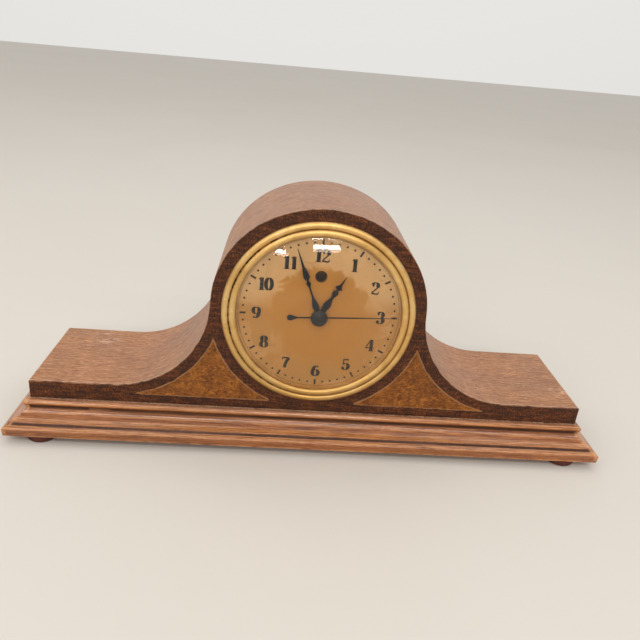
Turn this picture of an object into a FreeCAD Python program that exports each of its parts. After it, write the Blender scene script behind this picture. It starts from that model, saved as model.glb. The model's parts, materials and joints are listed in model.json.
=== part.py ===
import FreeCAD, Part
import math
import os

import Sketcher

# A small electric mantel clock in a tambour case: a round arch over the dial runs down through two coves
# into low flat wings, on a moulded base with four bun feet. Inside, a sealed motor drives the second hand,
# a train of wheels brings its turn down to the minute and hour hands, and a knob at the back sets them.
# Frame: millimetres, +Z up, the dial faces -Y. Zero is under the feet, in the middle of the whole clock.

SIZES = {
    # The case, seen from the front
    "case_width": 361.0,
    "case_depth": 80.0,
    "wing_height": 12.1,
    "arch_margin": 11.0,
    "shoulder_step": 7.9,
    "shoulder_angle": 62.7,
    "cove_radius": 62.7,
    "bezel_rise": 8.6,
    "bezel_headroom": 6.9,
    # Thicknesses of the case's boards
    "veneer_thickness": 1.0,
    "skin_thickness": 2.5,
    "front_board_thickness": 8.0,
    "back_board_thickness": 8.0,
    "wing_block_length": 36.0,
    "glue_strip_width": 10.0,
    "glue_strip_clearance": 1.6,
    "glue_strip_gap": 2.5,
    # The inlays and the plain margins around them
    "inlay_dial_margin": 7.2,
    "inlay_margin": 7.1,
    "inlay_point_height": 1.5,
    "inlay_inner_height": 1.14,
    "inlay_gap": 0.05,
    # The base
    "base_height": 20.8,
    "base_overhang": 14.5,
    "moulding_seat": 12.0,
    "slope_radius": 12.0,
    "lip_radius": 3.4,
    "edge_radius": 3.6,
    "foot_height": 5.4,
    "foot_radius": 10.0,
    "foot_sole_radius": 8.2,
    "foot_sole_height": 1.4,
    "foot_edge_bulge": 0.45,
    "foot_peg_radius": 2.5,
    "foot_peg_length": 8.0,
    "foot_front_inset": 11.5,
    "foot_rear_inset": 18.0,
    "foot_side_inset": 7.0,
    "base_screw_radius": 2.0,
    "base_screw_head_radius": 4.2,
    "base_screw_head_height": 2.6,
    "base_screw_grip": 8.0,
    "base_screw_inset": 22.0,
    "base_screw_front_inset": 24.0,
    "base_screw_rear_inset": 22.0,
    # The bezel, the crystal and the dial, from the front face of the case inwards
    "bezel_radius": 60.1,
    "bead_width": 4.4,
    "bead_rise": 1.4,
    "bezel_edge_height": 0.9,
    "bezel_groove_height": 1.3,
    "bezel_inner_height": 1.9,
    "bezel_seat_height": 1.6,
    "bezel_bearing": 3.9,
    "bezel_collar_thickness": 2.0,
    "bezel_stud_radius": 0.9,
    "bezel_stud_inset": 1.8,
    "bezel_stud_length": 3.4,
    "stud_clearance": 0.2,
    "bezel_nut_radius": 2.2,
    "bezel_nut_thickness": 1.8,
    "crystal_thickness": 1.2,
    "crystal_rise": 9.9,
    "crystal_flange": 2.7,
    "glass_clearance": 0.2,
    "glass_ring_width": 2.4,
    "dial_depth": 1.7,
    "dial_thickness": 0.6,
    "collar_clearance": 0.3,
    "dial_seat_width": 4.5,
    "dial_bore_radius": 3.6,
    "dial_tilt_angle": 1.25,
    "window_radius": 3.2,
    "window_reach": 25.4,
    # The movement's frame
    "plate_thickness": 1.2,
    "front_plate_rim": 4.0,
    "back_plate_margin": 5.0,
    "back_plate_corner": 4.0,
    "pillar_radius": 2.2,
    "pillar_reach_side": 21.0,
    "pillar_reach_top": 17.0,
    "pillar_reach_bottom": 23.0,
    "post_radius": 2.5,
    "post_reach": 36.0,
    "screw_radius": 1.0,
    "screw_head_radius": 2.1,
    "screw_head_height": 1.2,
    "screw_grip": 5.0,
    "running_gap": 0.07,
    "fit_gap": 0.04,
    # The train's arbors
    "third_reach": 12.24,
    "rotor_reach": 11.5,
    "minute_reach": 8.0,
    "minute_reach_angle": 30.0,
    "wheel_thickness": 0.8,
    "wheel_rim": 1.9,
    "wheel_arm_width": 1.3,
    "wheel_hub_radius": 2.4,
    "centre_wheel_hub_radius": 5.9,
    "leaf_overlap": 0.4,
    "seconds_arbor_radius": 0.75,
    "third_arbor_radius": 0.6,
    "pivot_radius": 0.35,
    "pivot_shoulder": 0.4,
    "rotor_shaft_radius": 0.9,
    "cannon_collar_radius": 3.0,
    "cannon_collar_thickness": 0.8,
    "pipe_radius": 2.3,
    "bush_radius": 3.2,
    "bush_flange_radius": 4.5,
    "bush_flange_thickness": 0.8,
    "bush_length": 3.0,
    "stud_radius": 0.7,
    "stud_shoulder_radius": 2.0,
    "spring_radius": 5.5,
    "spring_thickness": 0.25,
    "spring_dish": 0.35,
    # The gap in front of each wheel and plate, from the dial backwards
    "hour_wheel_gap": 1.0,
    "minute_wheel_gap": 1.3,
    "front_plate_gap": 2.8,
    "centre_wheel_gap": 1.8,
    "third_wheel_gap": 3.2,
    "seconds_wheel_gap": 2.7,
    "back_plate_gap": 3.9,
    # The hands: the gap behind each one, and how far each one's tip stays inside the bezel
    "hour_hand_gap": 1.8,
    "minute_hand_gap": 0.55,
    "second_hand_gap": 0.6,
    "pipe_proud": 0.1,
    "hand_thickness": 0.35,
    "second_hand_thickness": 0.25,
    "hour_hand_clearance": 20.5,
    "minute_hand_clearance": 5.7,
    "second_hand_clearance": 6.1,
    "hour_hand_hub_radius": 4.3,
    "minute_hand_hub_radius": 3.6,
    "second_hand_hub_radius": 2.4,
    "hour_hand_angle": 28.7,
    "minute_hand_angle": -20.4,
    "second_hand_angle": 87.0,
    "hub_cap_radius": 5.2,
    "hub_cap_height": 3.7,
    "hub_cap_rim": 1.6,
    "hub_cap_seat": 1.8,
    # The motor behind the movement
    "capsule_radius": 17.0,
    "capsule_gap": 0.6,
    "capsule_length": 11.0,
    "capsule_corner": 1.5,
    "capsule_boss_radius": 2.6,
    "capsule_boss_length": 1.2,
    "capsule_boss_clearance": 0.6,
    "rotor_cup_radius": 8.5,
    "rotor_cup_length": 10.0,
    "rotor_shaft_grip": 5.0,
    "stator_gap": 2.0,
    "stator_thickness": 7.0,
    "stator_limb_width": 10.0,
    "stator_head_reach": 14.0,
    "stator_bore_clearance": 0.5,
    "stator_post_gap": 0.5,
    "stator_post_margin": 5.0,
    "stator_post_rise": 9.0,
    "coil_end_gap": 1.4,
    "coil_height": 24.0,
    "coil_floor_gap": 8.2,
    "coil_depth": 23.0,
    "coil_corner": 4.0,
    "bobbin_wall": 1.0,
    "bobbin_gap": 0.2,
    # The setting knob and its arbor
    "set_arbor_radius": 1.2,
    "set_knob_radius": 7.5,
    "set_knob_length": 5.7,
    "set_knob_gap": 1.0,
    "set_knob_edge": 0.6,
    "knurl_radius": 0.9,
    "set_arbor_inset": 1.2,
    # The power-cut indicator
    "flag_radius": 4.2,
    "flag_thickness": 0.3,
    "flag_gap": 0.7,
    "flag_arm_width": 2.4,
    "flag_hub_radius": 1.9,
    "flag_pivot_side": 14.0,
    "flag_pivot_rise": 14.0,
    "flag_rest_angle": 30.0,
    "flag_arbor_radius": 0.8,
    "armature_length": 10.6,
    "armature_width": 5.0,
    "armature_inset": 1.0,
    # The back: opening, cover, cord inlet
    "cover_flange_radius": 54.0,
    "cover_flange_width": 9.0,
    "rear_opening_gap": 1.0,
    "cover_depth": 8.8,
    "cover_wall": 0.8,
    "cover_corner": 2.5,
    "cover_bore_gap": 1.0,
    "cover_screw_inset": 4.0,
    "cover_screw_radius": 1.4,
    "cover_screw_head_radius": 2.8,
    "cover_screw_head_height": 1.6,
    "cover_screw_grip": 6.5,
    "vent_width": 3.0,
    "vent_rim": 7.0,
    "vent_length": 14.0,
    "vent_corner": 1.2,
    "inlet_reach": 62.0,
    "inlet_headroom": 1.5,
    "inlet_bore_radius": 3.0,
    "inlet_body_radius": 5.8,
    "inlet_clearance": 0.1,
    "inlet_flange_radius": 8.0,
    "inlet_flange_thickness": 1.6,
    "overrun": 2.0,
}

# Counts of teeth, from the motor's arbor down to the hour hand: 36/10, then 45/6 by 48/6, then 30/10 by 32/8
ROTOR_LEAVES = 10
SECONDS_TEETH = 36
SECONDS_LEAVES = 6
THIRD_TEETH = 45
THIRD_LEAVES = 6
CENTRE_TEETH = 48
CANNON_LEAVES = 10
MINUTE_TEETH = 30
MINUTE_LEAVES = 8
HOUR_TEETH = 32
SET_LEAVES = 10

# A tooth's flank from root to tip: height from the pitch line in modules, half width in shares of the pitch
WHEEL_TOOTH_SHARES = ((-1.30, 0.31), (0.90, 0.12))
LEAF_SHARES = ((-1.40, 0.14), (0.00, 0.17), (0.50, 0.08))

# The base moulding from its foot to its top: shares of the overhang and of the height
MOULDING_SHARES = {
    "foot": (0.97, 0.00),
    "face": (1.00, 0.24),
    "step": (0.83, 0.31),
    "groove": (0.77, 0.36),
    "ridge": (0.74, 0.42),
    "neck_foot": (0.18, 0.68),
    "neck_top": (0.17, 0.77),
    "lip": (0.25, 0.87),
    "lip_top": (0.14, 1.00),
}

# Half outlines of the hands: half width and reach, both in shares of the hand's length
HOUR_HAND_SHARES = (
    (0.040, 0.00), (0.040, 0.10), (0.079, 0.27), (0.072, 0.33), (0.033, 0.44), (0.030, 0.50), (0.062, 0.58),
    (0.058, 0.625), (0.018, 0.665), (0.085, 0.715), (0.034, 0.765), (0.020, 0.82), (0.010, 0.92),
)
MINUTE_HAND_SHARES = (
    (0.025, 0.00), (0.025, 0.07), (0.047, 0.16), (0.044, 0.195), (0.014, 0.30), (0.012, 0.45), (0.034, 0.50),
    (0.014, 0.545), (0.044, 0.59), (0.038, 0.635), (0.016, 0.75), (0.009, 0.90),
)
SECOND_HAND_SHARES = (
    (0.018, -0.435), (0.040, -0.415), (0.044, -0.385), (0.026, -0.335), (0.010, -0.29), (0.012, 0.00),
)
TIP_SHARE = 0.004

# A screw's slot: its width in shares of the head's radius, its depth in shares of the head's height
SLOT_WIDTH_SHARE = 0.25
SLOT_DEPTH_SHARE = 0.45

# The cannon's tube just covers its leaves' roots, which lie so many modules inside the pitch line
CANNON_ROOT_SHARE = 1.25

# How many times a thing repeats, and where around the dial's axis, anticlockwise from three o'clock
KNURLS = 18
VENTS = 12
WHEEL_ARMS = 4
NUT_SIDES = 6
STUD_ANGLES = (90, 210, 330)
POST_ANGLES = (30, 150, 270)
COVER_SCREW_ANGLES = (45, 135, 225, 315)
LEFT = 1
RIGHT = -1

doc = FreeCAD.newDocument("tambour_clock")
sheet = doc.addObject("Spreadsheet::Sheet", "Sizes")
for row, (alias, number) in enumerate(SIZES.items(), 1):
    sheet.set(f"A{row}", alias)
    sheet.set(f"B{row}", str(number))
    sheet.setAlias(f"B{row}", alias)
doc.recompute()


class Size:
    """A size that keeps its formula, which the document follows, beside its value."""

    def __init__(self, formula, value):
        self.formula = formula
        self.value = value

    def __add__(self, other):
        other = as_size(other)
        return Size(f"({self.formula} + {other.formula})", self.value + other.value)

    def __radd__(self, other):
        return as_size(other) + self

    def __sub__(self, other):
        other = as_size(other)
        return Size(f"({self.formula} - {other.formula})", self.value - other.value)

    def __rsub__(self, other):
        return as_size(other) - self

    def __mul__(self, other):
        other = as_size(other)
        return Size(f"({self.formula} * {other.formula})", self.value * other.value)

    def __rmul__(self, other):
        return as_size(other) * self

    def __truediv__(self, other):
        other = as_size(other)
        return Size(f"({self.formula} / {other.formula})", self.value / other.value)

    def __neg__(self):
        return Size(f"(0 - {self.formula})", -self.value)

    def root(self):
        return Size(f"sqrt{self.formula}", math.sqrt(self.value))

    def cosine(self):
        return Size(f"cos({self.formula})", math.cos(math.radians(self.value)))

    def sine(self):
        return Size(f"sin({self.formula})", math.sin(math.radians(self.value)))


def as_size(number):
    """A plain number, such as a share or a half, as a Size."""
    if isinstance(number, Size):
        return number
    return Size(repr(float(number)), float(number))


def sized(alias):
    """The Size that a cell of the sheet holds."""
    return Size(f"Sizes.{alias}", float(sheet.get(alias)))


def across(hypotenuse, side):
    """The other short side of a right triangle."""
    return (hypotenuse * hypotenuse - side * side).root()


def across_both(width, height):
    """The long side of a right triangle."""
    return (width * width + height * height).root()


def rest_of_circle(rise, half_chord):
    """The radius of the arc that rises so much over half its chord."""
    return (half_chord * half_chord + rise * rise) / (rise * 2)


ZERO = Size("0", 0.0)
s = {alias: sized(alias) for alias in SIZES}

# Places that several pieces share
half_width = s["case_width"] / 2
case_bottom = s["foot_height"] + s["base_height"]
axis_rise = s["bezel_rise"] + s["bezel_radius"]
axis_height = case_bottom + axis_rise
rear_reach = s["cover_depth"] + s["set_knob_gap"] + s["set_knob_length"]
whole_depth = s["base_overhang"] + s["case_depth"] + rear_reach
front_y = s["base_overhang"] - whole_depth / 2
board_back = s["veneer_thickness"] + s["front_board_thickness"]
back_board_front = s["case_depth"] - s["back_board_thickness"]
groove_radius = s["bezel_radius"] - s["bead_width"]
bezel_inner = groove_radius - s["bead_width"]
collar_radius = s["bezel_radius"] - s["bezel_bearing"]
opening_radius = collar_radius + s["collar_clearance"]

# Depths behind the case's front face, from the dial through the wheels to the stator
dial_back = s["dial_depth"] + s["dial_thickness"]
hour_wheel_front = dial_back + s["hour_wheel_gap"]
minute_wheel_front = hour_wheel_front + s["wheel_thickness"] + s["minute_wheel_gap"]
front_plate_front = minute_wheel_front + s["wheel_thickness"] + s["front_plate_gap"]
front_plate_back = front_plate_front + s["plate_thickness"]
centre_wheel_front = front_plate_back + s["centre_wheel_gap"]
third_wheel_front = centre_wheel_front + s["wheel_thickness"] + s["third_wheel_gap"]
seconds_wheel_front = third_wheel_front + s["wheel_thickness"] + s["seconds_wheel_gap"]
back_plate_front = seconds_wheel_front + s["wheel_thickness"] + s["back_plate_gap"]
back_plate_back = back_plate_front + s["plate_thickness"]
capsule_front = back_plate_back + s["capsule_gap"]
stator_front = capsule_front + s["capsule_length"] + s["stator_gap"]
flag_front = dial_back + s["flag_gap"]

# Depths of the hands, which are in front of the case's front face and so below zero
hour_hand_back = s["dial_depth"] - s["hour_hand_gap"]
hour_hand_front = hour_hand_back - s["hand_thickness"]
minute_hand_back = hour_hand_front - s["minute_hand_gap"]
minute_hand_front = minute_hand_back - s["hand_thickness"]
second_hand_back = minute_hand_front - s["second_hand_gap"]
second_hand_front = second_hand_back - s["second_hand_thickness"]

# Modules of the four pairs of gears, from the distance between their arbors and their counts of teeth
fast_module = s["third_reach"] * 2 / (THIRD_TEETH + SECONDS_LEAVES)
slow_module = s["third_reach"] * 2 / (CENTRE_TEETH + THIRD_LEAVES)
rotor_module = s["rotor_reach"] * 2 / (SECONDS_TEETH + ROTOR_LEAVES)
motion_module = s["minute_reach"] * 2 / (MINUTE_TEETH + CANNON_LEAVES)
cannon_radius = motion_module * (CANNON_LEAVES / 2 - CANNON_ROOT_SHARE)
cannon_bore = s["seconds_arbor_radius"] + s["running_gap"]
pipe_bore = cannon_radius + s["running_gap"]

MIDDLE = (ZERO, ZERO)
THIRD = (-s["third_reach"], ZERO)
ROTOR = (ZERO, -s["rotor_reach"])
MINUTE = (
    s["minute_reach"] * s["minute_reach_angle"].cosine(),
    s["minute_reach"] * s["minute_reach_angle"].sine(),
)
SETTING = (MINUTE[0] * 2, MINUTE[1] * 2)
FLAG = (-s["flag_pivot_side"], s["flag_pivot_rise"])
WINDOW = (
    -s["window_reach"] * s["dial_tilt_angle"].sine(),
    s["window_reach"] * s["dial_tilt_angle"].cosine(),
)

pieces = {}


def keep(label, item):
    """Counts a finished object as a piece of the clock, under its own label."""
    item.Label = label
    pieces[label] = item
    return item


def put(item, x, y, z):
    """Binds an object's place to the sheet."""
    item.Placement.Base = FreeCAD.Vector(x.value, y.value, z.value)
    item.setExpression("Placement.Base.x", x.formula)
    item.setExpression("Placement.Base.y", y.formula)
    item.setExpression("Placement.Base.z", z.formula)


def on_axis(item, place=MIDDLE):
    """Puts an object on an axis through the dial side, with its depth counted from the case's front."""
    put(item, place[0], front_y, axis_height + place[1])


def new_body(label):
    body = doc.addObject("PartDesign::Body", label)
    body.Label = label
    return body


def new_sketch(body, plane, offset=ZERO):
    """A sketch on one of the body's own origin planes, moved off it by offset along its normal."""
    sketch = body.newObject("Sketcher::SketchObject", body.Name + "_sketch")
    supports = [item for item in body.Origin.OriginFeatures if item.Role == plane]
    sketch.AttachmentSupport = [(supports[0], "")]
    sketch.MapMode = "FlatFace"
    sketch.AttachmentOffset = FreeCAD.Placement(FreeCAD.Vector(0, 0, offset.value), FreeCAD.Rotation())
    sketch.setExpression("AttachmentOffset.Base.z", offset.formula)
    return sketch


def pin(sketch, kind, item, point, size):
    """Holds one coordinate of a point to the sheet, or to an axis where it is zero."""
    if size.formula == "0":
        axis = -2 if kind == "DistanceX" else -1
        sketch.addConstraint(Sketcher.Constraint("PointOnObject", item, point, axis))
        return
    index = sketch.addConstraint(Sketcher.Constraint(kind, -1, 1, item, point, size.value))
    sketch.setExpression(f"Constraints[{index}]", size.formula)


def arc_through(start, end, radius, turn):
    """The short arc from start to end that turns left or right."""
    chord = end - start
    half = chord.Length / 2
    reach = math.sqrt(max(radius * radius - half * half, 0))
    side = FreeCAD.Vector(-chord.y, chord.x, 0).normalize()
    centre = (start + end) / 2 + side * (reach * turn)
    first, last = (start, end) if turn == LEFT else (end, start)
    circle = Part.Circle(centre, FreeCAD.Vector(0, 0, 1), radius)
    first_angle = math.atan2(first.y - centre.y, first.x - centre.x)
    last_angle = math.atan2(last.y - centre.y, last.x - centre.x)
    return Part.ArcOfCircle(circle, first_angle, last_angle)


def draw_loop(sketch, corners):
    """Draws a closed loop. A corner is (x, y), or (x, y, radius, turn) where an arc leads on from it."""
    points = [FreeCAD.Vector(corner[0].value, corner[1].value, 0) for corner in corners]
    ends = []
    for number, corner in enumerate(corners):
        start = points[number]
        end = points[(number + 1) % len(points)]
        if len(corner) == 2:
            item = sketch.addGeometry(Part.LineSegment(start, end), False)
            ends.append((item, 1, 2))
            continue
        radius, turn = corner[2], corner[3]
        item = sketch.addGeometry(arc_through(start, end, radius.value, turn), False)
        ends.append((item, 1, 2) if turn == LEFT else (item, 2, 1))
        index = sketch.addConstraint(Sketcher.Constraint("Radius", item, radius.value))
        sketch.setExpression(f"Constraints[{index}]", radius.formula)
    for number, corner in enumerate(corners):
        item, first, last = ends[number]
        following, following_first, following_last = ends[(number + 1) % len(ends)]
        sketch.addConstraint(Sketcher.Constraint("Coincident", item, last, following, following_first))
        pin(sketch, "DistanceX", item, first, corner[0])
        pin(sketch, "DistanceY", item, first, corner[1])


def draw_circle(sketch, x, y, radius):
    """Draws a circle whose centre and radius follow the sheet."""
    centre = FreeCAD.Vector(x.value, y.value, 0)
    circle = Part.Circle(centre, FreeCAD.Vector(0, 0, 1), radius.value)
    item = sketch.addGeometry(circle, False)
    pin(sketch, "DistanceX", item, 3, x)
    pin(sketch, "DistanceY", item, 3, y)
    index = sketch.addConstraint(Sketcher.Constraint("Radius", item, radius.value))
    sketch.setExpression(f"Constraints[{index}]", radius.formula)


def profile(body, plane, start, loops, circles):
    """A sketch of loops and circles that lies at start along the plane's thickness axis."""
    offset = -start if plane == "XZ_Plane" else start
    sketch = new_sketch(body, plane, offset)
    for corners in loops:
        draw_loop(sketch, corners)
    for circle in circles:
        draw_circle(sketch, *circle)
    return sketch


def pad(body, plane, start, end, loops=(), circles=()):
    """Adds material from start to end, along +Y on an XZ plane, +X on a YZ plane and +Z on an XY plane."""
    feature = body.newObject("PartDesign::Pad", body.Name + "_pad")
    feature.Profile = profile(body, plane, start, loops, circles)
    feature.setExpression("Length", (end - start).formula)
    feature.Reversed = plane == "XZ_Plane"
    return feature


def pocket(body, plane, start, end, loops=(), circles=()):
    """Takes material away from start to end, the same ways as pad, and makes sure that it did."""
    doc.recompute()
    before = body.Shape.Volume
    feature = body.newObject("PartDesign::Pocket", body.Name + "_pocket")
    feature.Profile = profile(body, plane, start, loops, circles)
    feature.setExpression("Length", (end - start).formula)
    feature.Reversed = plane != "XZ_Plane"
    doc.recompute()
    if body.Shape.Volume >= before:
        raise RuntimeError(f"{feature.Name} cuts nothing")
    return feature


def turned_body(name, corners, plane="XY_Plane"):
    """A body turned about Y from (radius, depth) corners, or about Z on the XZ plane."""
    body = new_body(name)
    feature = body.newObject("PartDesign::Revolution", name + "_turn")
    feature.Profile = profile(body, plane, ZERO, [corners], [])
    feature.ReferenceAxis = (feature.Profile[0], ["V_Axis"])
    return body


def turned(label, corners, place=MIDDLE):
    """A turned piece of the clock, on an axis through the dial side."""
    body = turned_body(label, corners)
    on_axis(body, place)
    return keep(label, body)


def ring(inner, outer, start, end):
    """The corners of a plain ring, or of a disc where inner is ZERO."""
    return [(inner, start), (outer, start), (outer, end), (inner, end)]


def screw_corners(head_radius, radius, head, seat, tip):
    """The half outline of a screw: flat head from head to seat, then its shank to tip."""
    return [
        (ZERO, head), (head_radius, head), (head_radius, seat),
        (radius, seat), (radius, tip), (ZERO, tip),
    ]


def slot_corners(head_radius):
    """A slot right across a screw's head."""
    half = head_radius * SLOT_WIDTH_SHARE / 2
    return box_corners(-head_radius - s["overrun"], head_radius + s["overrun"], -half, half)


def group(label, members):
    """Identical loose pieces that share one node."""
    compound = doc.addObject("Part::Compound", label)
    compound.Links = members
    return keep(label, compound)


def fused(label, members):
    """Members that are one solid on the real clock."""
    fusion = doc.addObject("Part::MultiFuse", label)
    fusion.Shapes = members
    return keep(label, fusion)


def box_corners(left, right, bottom, top):
    return [(left, bottom), (right, bottom), (right, top), (left, top)]


def round_box(left, right, bottom, top, radius):
    """A rectangle with round corners, drawn anticlockwise."""
    return [
        (left + radius, bottom), (right - radius, bottom, radius, LEFT),
        (right, bottom + radius), (right, top - radius, radius, LEFT),
        (right - radius, top), (left + radius, top, radius, LEFT),
        (left, top - radius), (left, bottom + radius, radius, LEFT),
    ]


def turned_place(reach, degrees):
    """A place at a reach from the dial's axis, so many degrees anticlockwise from three o'clock."""
    return (
        reach * math.cos(math.radians(degrees)),
        reach * math.sin(math.radians(degrees)),
    )


# The case's outline: three tangent arcs and two coves

case_height = axis_rise + s["bezel_radius"] + s["bezel_headroom"]
arch_radius = s["bezel_radius"] + s["arch_margin"]
arch_centre_z = case_height - arch_radius
shoulder_radius = arch_radius - s["shoulder_step"]
shoulder_x = s["shoulder_step"] * s["shoulder_angle"].cosine()
shoulder_z = arch_centre_z + s["shoulder_step"] * s["shoulder_angle"].sine()
cove_z = s["wing_height"] + s["cove_radius"]
cove_x = shoulder_x + across(shoulder_radius + s["cove_radius"], cove_z - shoulder_z)


def top_line(inset):
    """The case's top from the left wing's end to the right one's, drawn in by inset."""
    arch = arch_radius - inset
    shoulder = shoulder_radius - inset
    cove = s["cove_radius"] + inset
    reach = shoulder / (shoulder_radius + s["cove_radius"])
    wing_top = s["wing_height"] - inset
    crown_x = arch * s["shoulder_angle"].cosine()
    crown_z = arch_centre_z + arch * s["shoulder_angle"].sine()
    waist_x = shoulder_x + (cove_x - shoulder_x) * reach
    waist_z = shoulder_z + (cove_z - shoulder_z) * reach
    return [
        (-half_width, wing_top),
        (-cove_x, wing_top, cove, LEFT),
        (-waist_x, waist_z, shoulder, RIGHT),
        (-crown_x, crown_z, arch, RIGHT),
        (crown_x, crown_z, shoulder, RIGHT),
        (waist_x, waist_z, cove, LEFT),
        (cove_x, wing_top),
        (half_width, wing_top),
    ]


def backwards(line):
    """The same line drawn the other way."""
    turned_line = [line[-1][:2]]
    for corner in reversed(line[:-1]):
        bend = (corner[2], -corner[3]) if len(corner) == 4 else ()
        turned_line[-1] = turned_line[-1][:2] + bend
        turned_line.append(corner[:2])
    return turned_line


def case_outline(inset):
    """The whole front view of a board of the case, whose top is drawn in by inset."""
    return top_line(inset) + [(half_width, ZERO), (-half_width, ZERO)]


def inlay_outline(side, gap):
    """One inlay between the bezel, the cove and the bottom edge, drawn in by gap. Side is 1 or -1."""
    dial_radius = s["bezel_radius"] + s["inlay_dial_margin"]
    bottom = s["wing_height"] - s["inlay_margin"] + s["inlay_point_height"]
    inner = across(dial_radius, axis_rise - bottom - s["inlay_inner_height"]) + gap
    dial_radius = dial_radius + gap
    bottom = bottom + gap
    cove_reach = s["cove_radius"] + s["inlay_margin"] + gap
    apart = across_both(cove_x, cove_z - axis_rise)
    along = (dial_radius * dial_radius - cove_reach * cove_reach + apart * apart) / (apart * 2)
    off = across(dial_radius, along)
    tip_x = (along * cove_x + off * (cove_z - axis_rise)) / apart
    tip_z = axis_rise + (along * (cove_z - axis_rise) - off * cove_x) / apart
    outer = cove_x - across(cove_reach, cove_z - bottom)
    inner_top = axis_rise - across(dial_radius, inner)
    turn = RIGHT if side > 0 else LEFT
    return [
        (inner * side, bottom),
        (outer * side, bottom, cove_reach, turn),
        (tip_x * side, tip_z, dial_radius, turn),
        (inner * side, inner_top),
    ]


def case_body(label):
    """A body whose own zero is the case's front face, at the bottom of the case."""
    body = new_body(label)
    put(body, ZERO, front_y, case_bottom)
    return keep(label, body)


# Case: veneer, inlays, boards, bent skin, blocks

stud_reach = s["bezel_radius"] - s["bezel_stud_inset"]
stud_places = [turned_place(stud_reach, angle) for angle in STUD_ANGLES]
stud_hole = s["bezel_stud_radius"] + s["stud_clearance"]
stud_holes = [(x, axis_rise + z, stud_hole) for x, z in stud_places]

veneer = case_body("front_veneer")
pad(
    veneer, "XZ_Plane", ZERO, s["veneer_thickness"],
    [case_outline(ZERO), inlay_outline(1, ZERO), inlay_outline(-1, ZERO)],
    [(ZERO, axis_rise, opening_radius)] + stud_holes,
)

for label, side in (("inlay_left", -1), ("inlay_right", 1)):
    inlay = case_body(label)
    pad(inlay, "XZ_Plane", ZERO, s["veneer_thickness"], [inlay_outline(side, s["inlay_gap"])])

front_board = case_body("front_board")
pad(
    front_board, "XZ_Plane", s["veneer_thickness"], board_back,
    [case_outline(s["skin_thickness"])],
    [(ZERO, axis_rise, opening_radius - s["dial_seat_width"])] + stud_holes,
)
pocket(
    front_board, "XZ_Plane", s["veneer_thickness"], dial_back, [],
    [(ZERO, axis_rise, opening_radius)],
)

wing_inner_top = s["wing_height"] - s["skin_thickness"]
strip_height = wing_inner_top - s["glue_strip_clearance"]
inlet_rise = strip_height + s["inlet_flange_radius"] + s["inlet_headroom"]
inlet = (s["inlet_reach"], inlet_rise - axis_rise)
cover_radius = s["cover_flange_radius"] - s["cover_flange_width"]
cover_screw_reach = s["cover_flange_radius"] - s["cover_screw_inset"]
cover_screw_places = [turned_place(cover_screw_reach, angle) for angle in COVER_SCREW_ANGLES]
cover_screw_hole = s["cover_screw_radius"] + s["fit_gap"]
back_board = case_body("back_board")
pad(
    back_board, "XZ_Plane", back_board_front, s["case_depth"],
    [case_outline(s["skin_thickness"])],
    [(ZERO, axis_rise, cover_radius + s["rear_opening_gap"])]
    + [(inlet[0], inlet_rise, s["inlet_body_radius"] + s["inlet_clearance"])]
    + [(x, axis_rise + z, cover_screw_hole) for x, z in cover_screw_places],
)

top_skin = case_body("top_skin")
pad(
    top_skin, "XZ_Plane", s["veneer_thickness"], s["case_depth"],
    [top_line(ZERO) + backwards(top_line(s["skin_thickness"]))],
)

block_inner = half_width - s["wing_block_length"]
base_screw_x = half_width - s["base_screw_inset"]
base_screw_depths = (s["base_screw_front_inset"], s["case_depth"] - s["base_screw_rear_inset"])
for label, side in (("wing_block_left", -1), ("wing_block_right", 1)):
    block = case_body(label)
    edges = sorted((block_inner * side, half_width * side), key=lambda size: size.value)
    pad(
        block, "XY_Plane", ZERO, wing_inner_top,
        [box_corners(edges[0], edges[1], board_back, back_board_front)],
        [(base_screw_x * side, depth, s["base_screw_radius"] + s["fit_gap"]) for depth in base_screw_depths],
    )

strip_half = block_inner - s["glue_strip_gap"]
strip_places = {
    "front_glue_strip": (board_back, board_back + s["glue_strip_width"]),
    "rear_glue_strip": (back_board_front - s["glue_strip_width"], back_board_front),
}
for label, (strip_front, strip_back) in strip_places.items():
    strip = case_body(label)
    pad(
        strip, "XY_Plane", ZERO, strip_height,
        [box_corners(-strip_half, strip_half, strip_front, strip_back)],
    )

# Base: board, mitred mouldings, feet and screws. Own zero: the case's front face, at the base's bottom


def base_body(label):
    body = new_body(label)
    put(body, ZERO, front_y, s["foot_height"])
    return keep(label, body)


seat = s["moulding_seat"]
overhang = s["base_overhang"]
foot_x = half_width - s["foot_side_inset"]
foot_depths = (s["foot_front_inset"] - overhang, s["case_depth"] - s["foot_rear_inset"])
peg_hole = s["foot_peg_radius"] + s["fit_gap"]

base_board = base_body("base_board")
base_holes = [(base_screw_x * side, depth) for side in (-1, 1) for depth in base_screw_depths]
pad(
    base_board, "XY_Plane", ZERO, s["base_height"],
    [box_corners(seat - half_width, half_width - seat, seat, s["case_depth"])],
    [(x, depth, s["base_screw_radius"] + s["fit_gap"]) for x, depth in base_holes],
)
pocket(
    base_board, "XY_Plane", ZERO, s["base_screw_head_height"], [],
    [(x, depth, s["base_screw_head_radius"] + s["fit_gap"]) for x, depth in base_holes],
)


def moulding_corners(face, outwards):
    """The moulding's section: face is the case's face and outwards 1 or -1, the way that it stands out."""

    def point(name):
        out, up = MOULDING_SHARES[name]
        return (face + overhang * out * outwards, s["base_height"] * up)

    turn = LEFT if outwards > 0 else RIGHT
    inner = face - seat * outwards
    return [
        (inner, ZERO),
        point("foot"),
        point("face") + (s["edge_radius"], turn),
        point("step"),
        point("groove"),
        point("ridge") + (s["slope_radius"], -turn),
        point("neck_foot"),
        point("neck_top"),
        point("lip") + (s["lip_radius"], turn),
        point("lip_top"),
        (inner, s["base_height"]),
    ]


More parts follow.
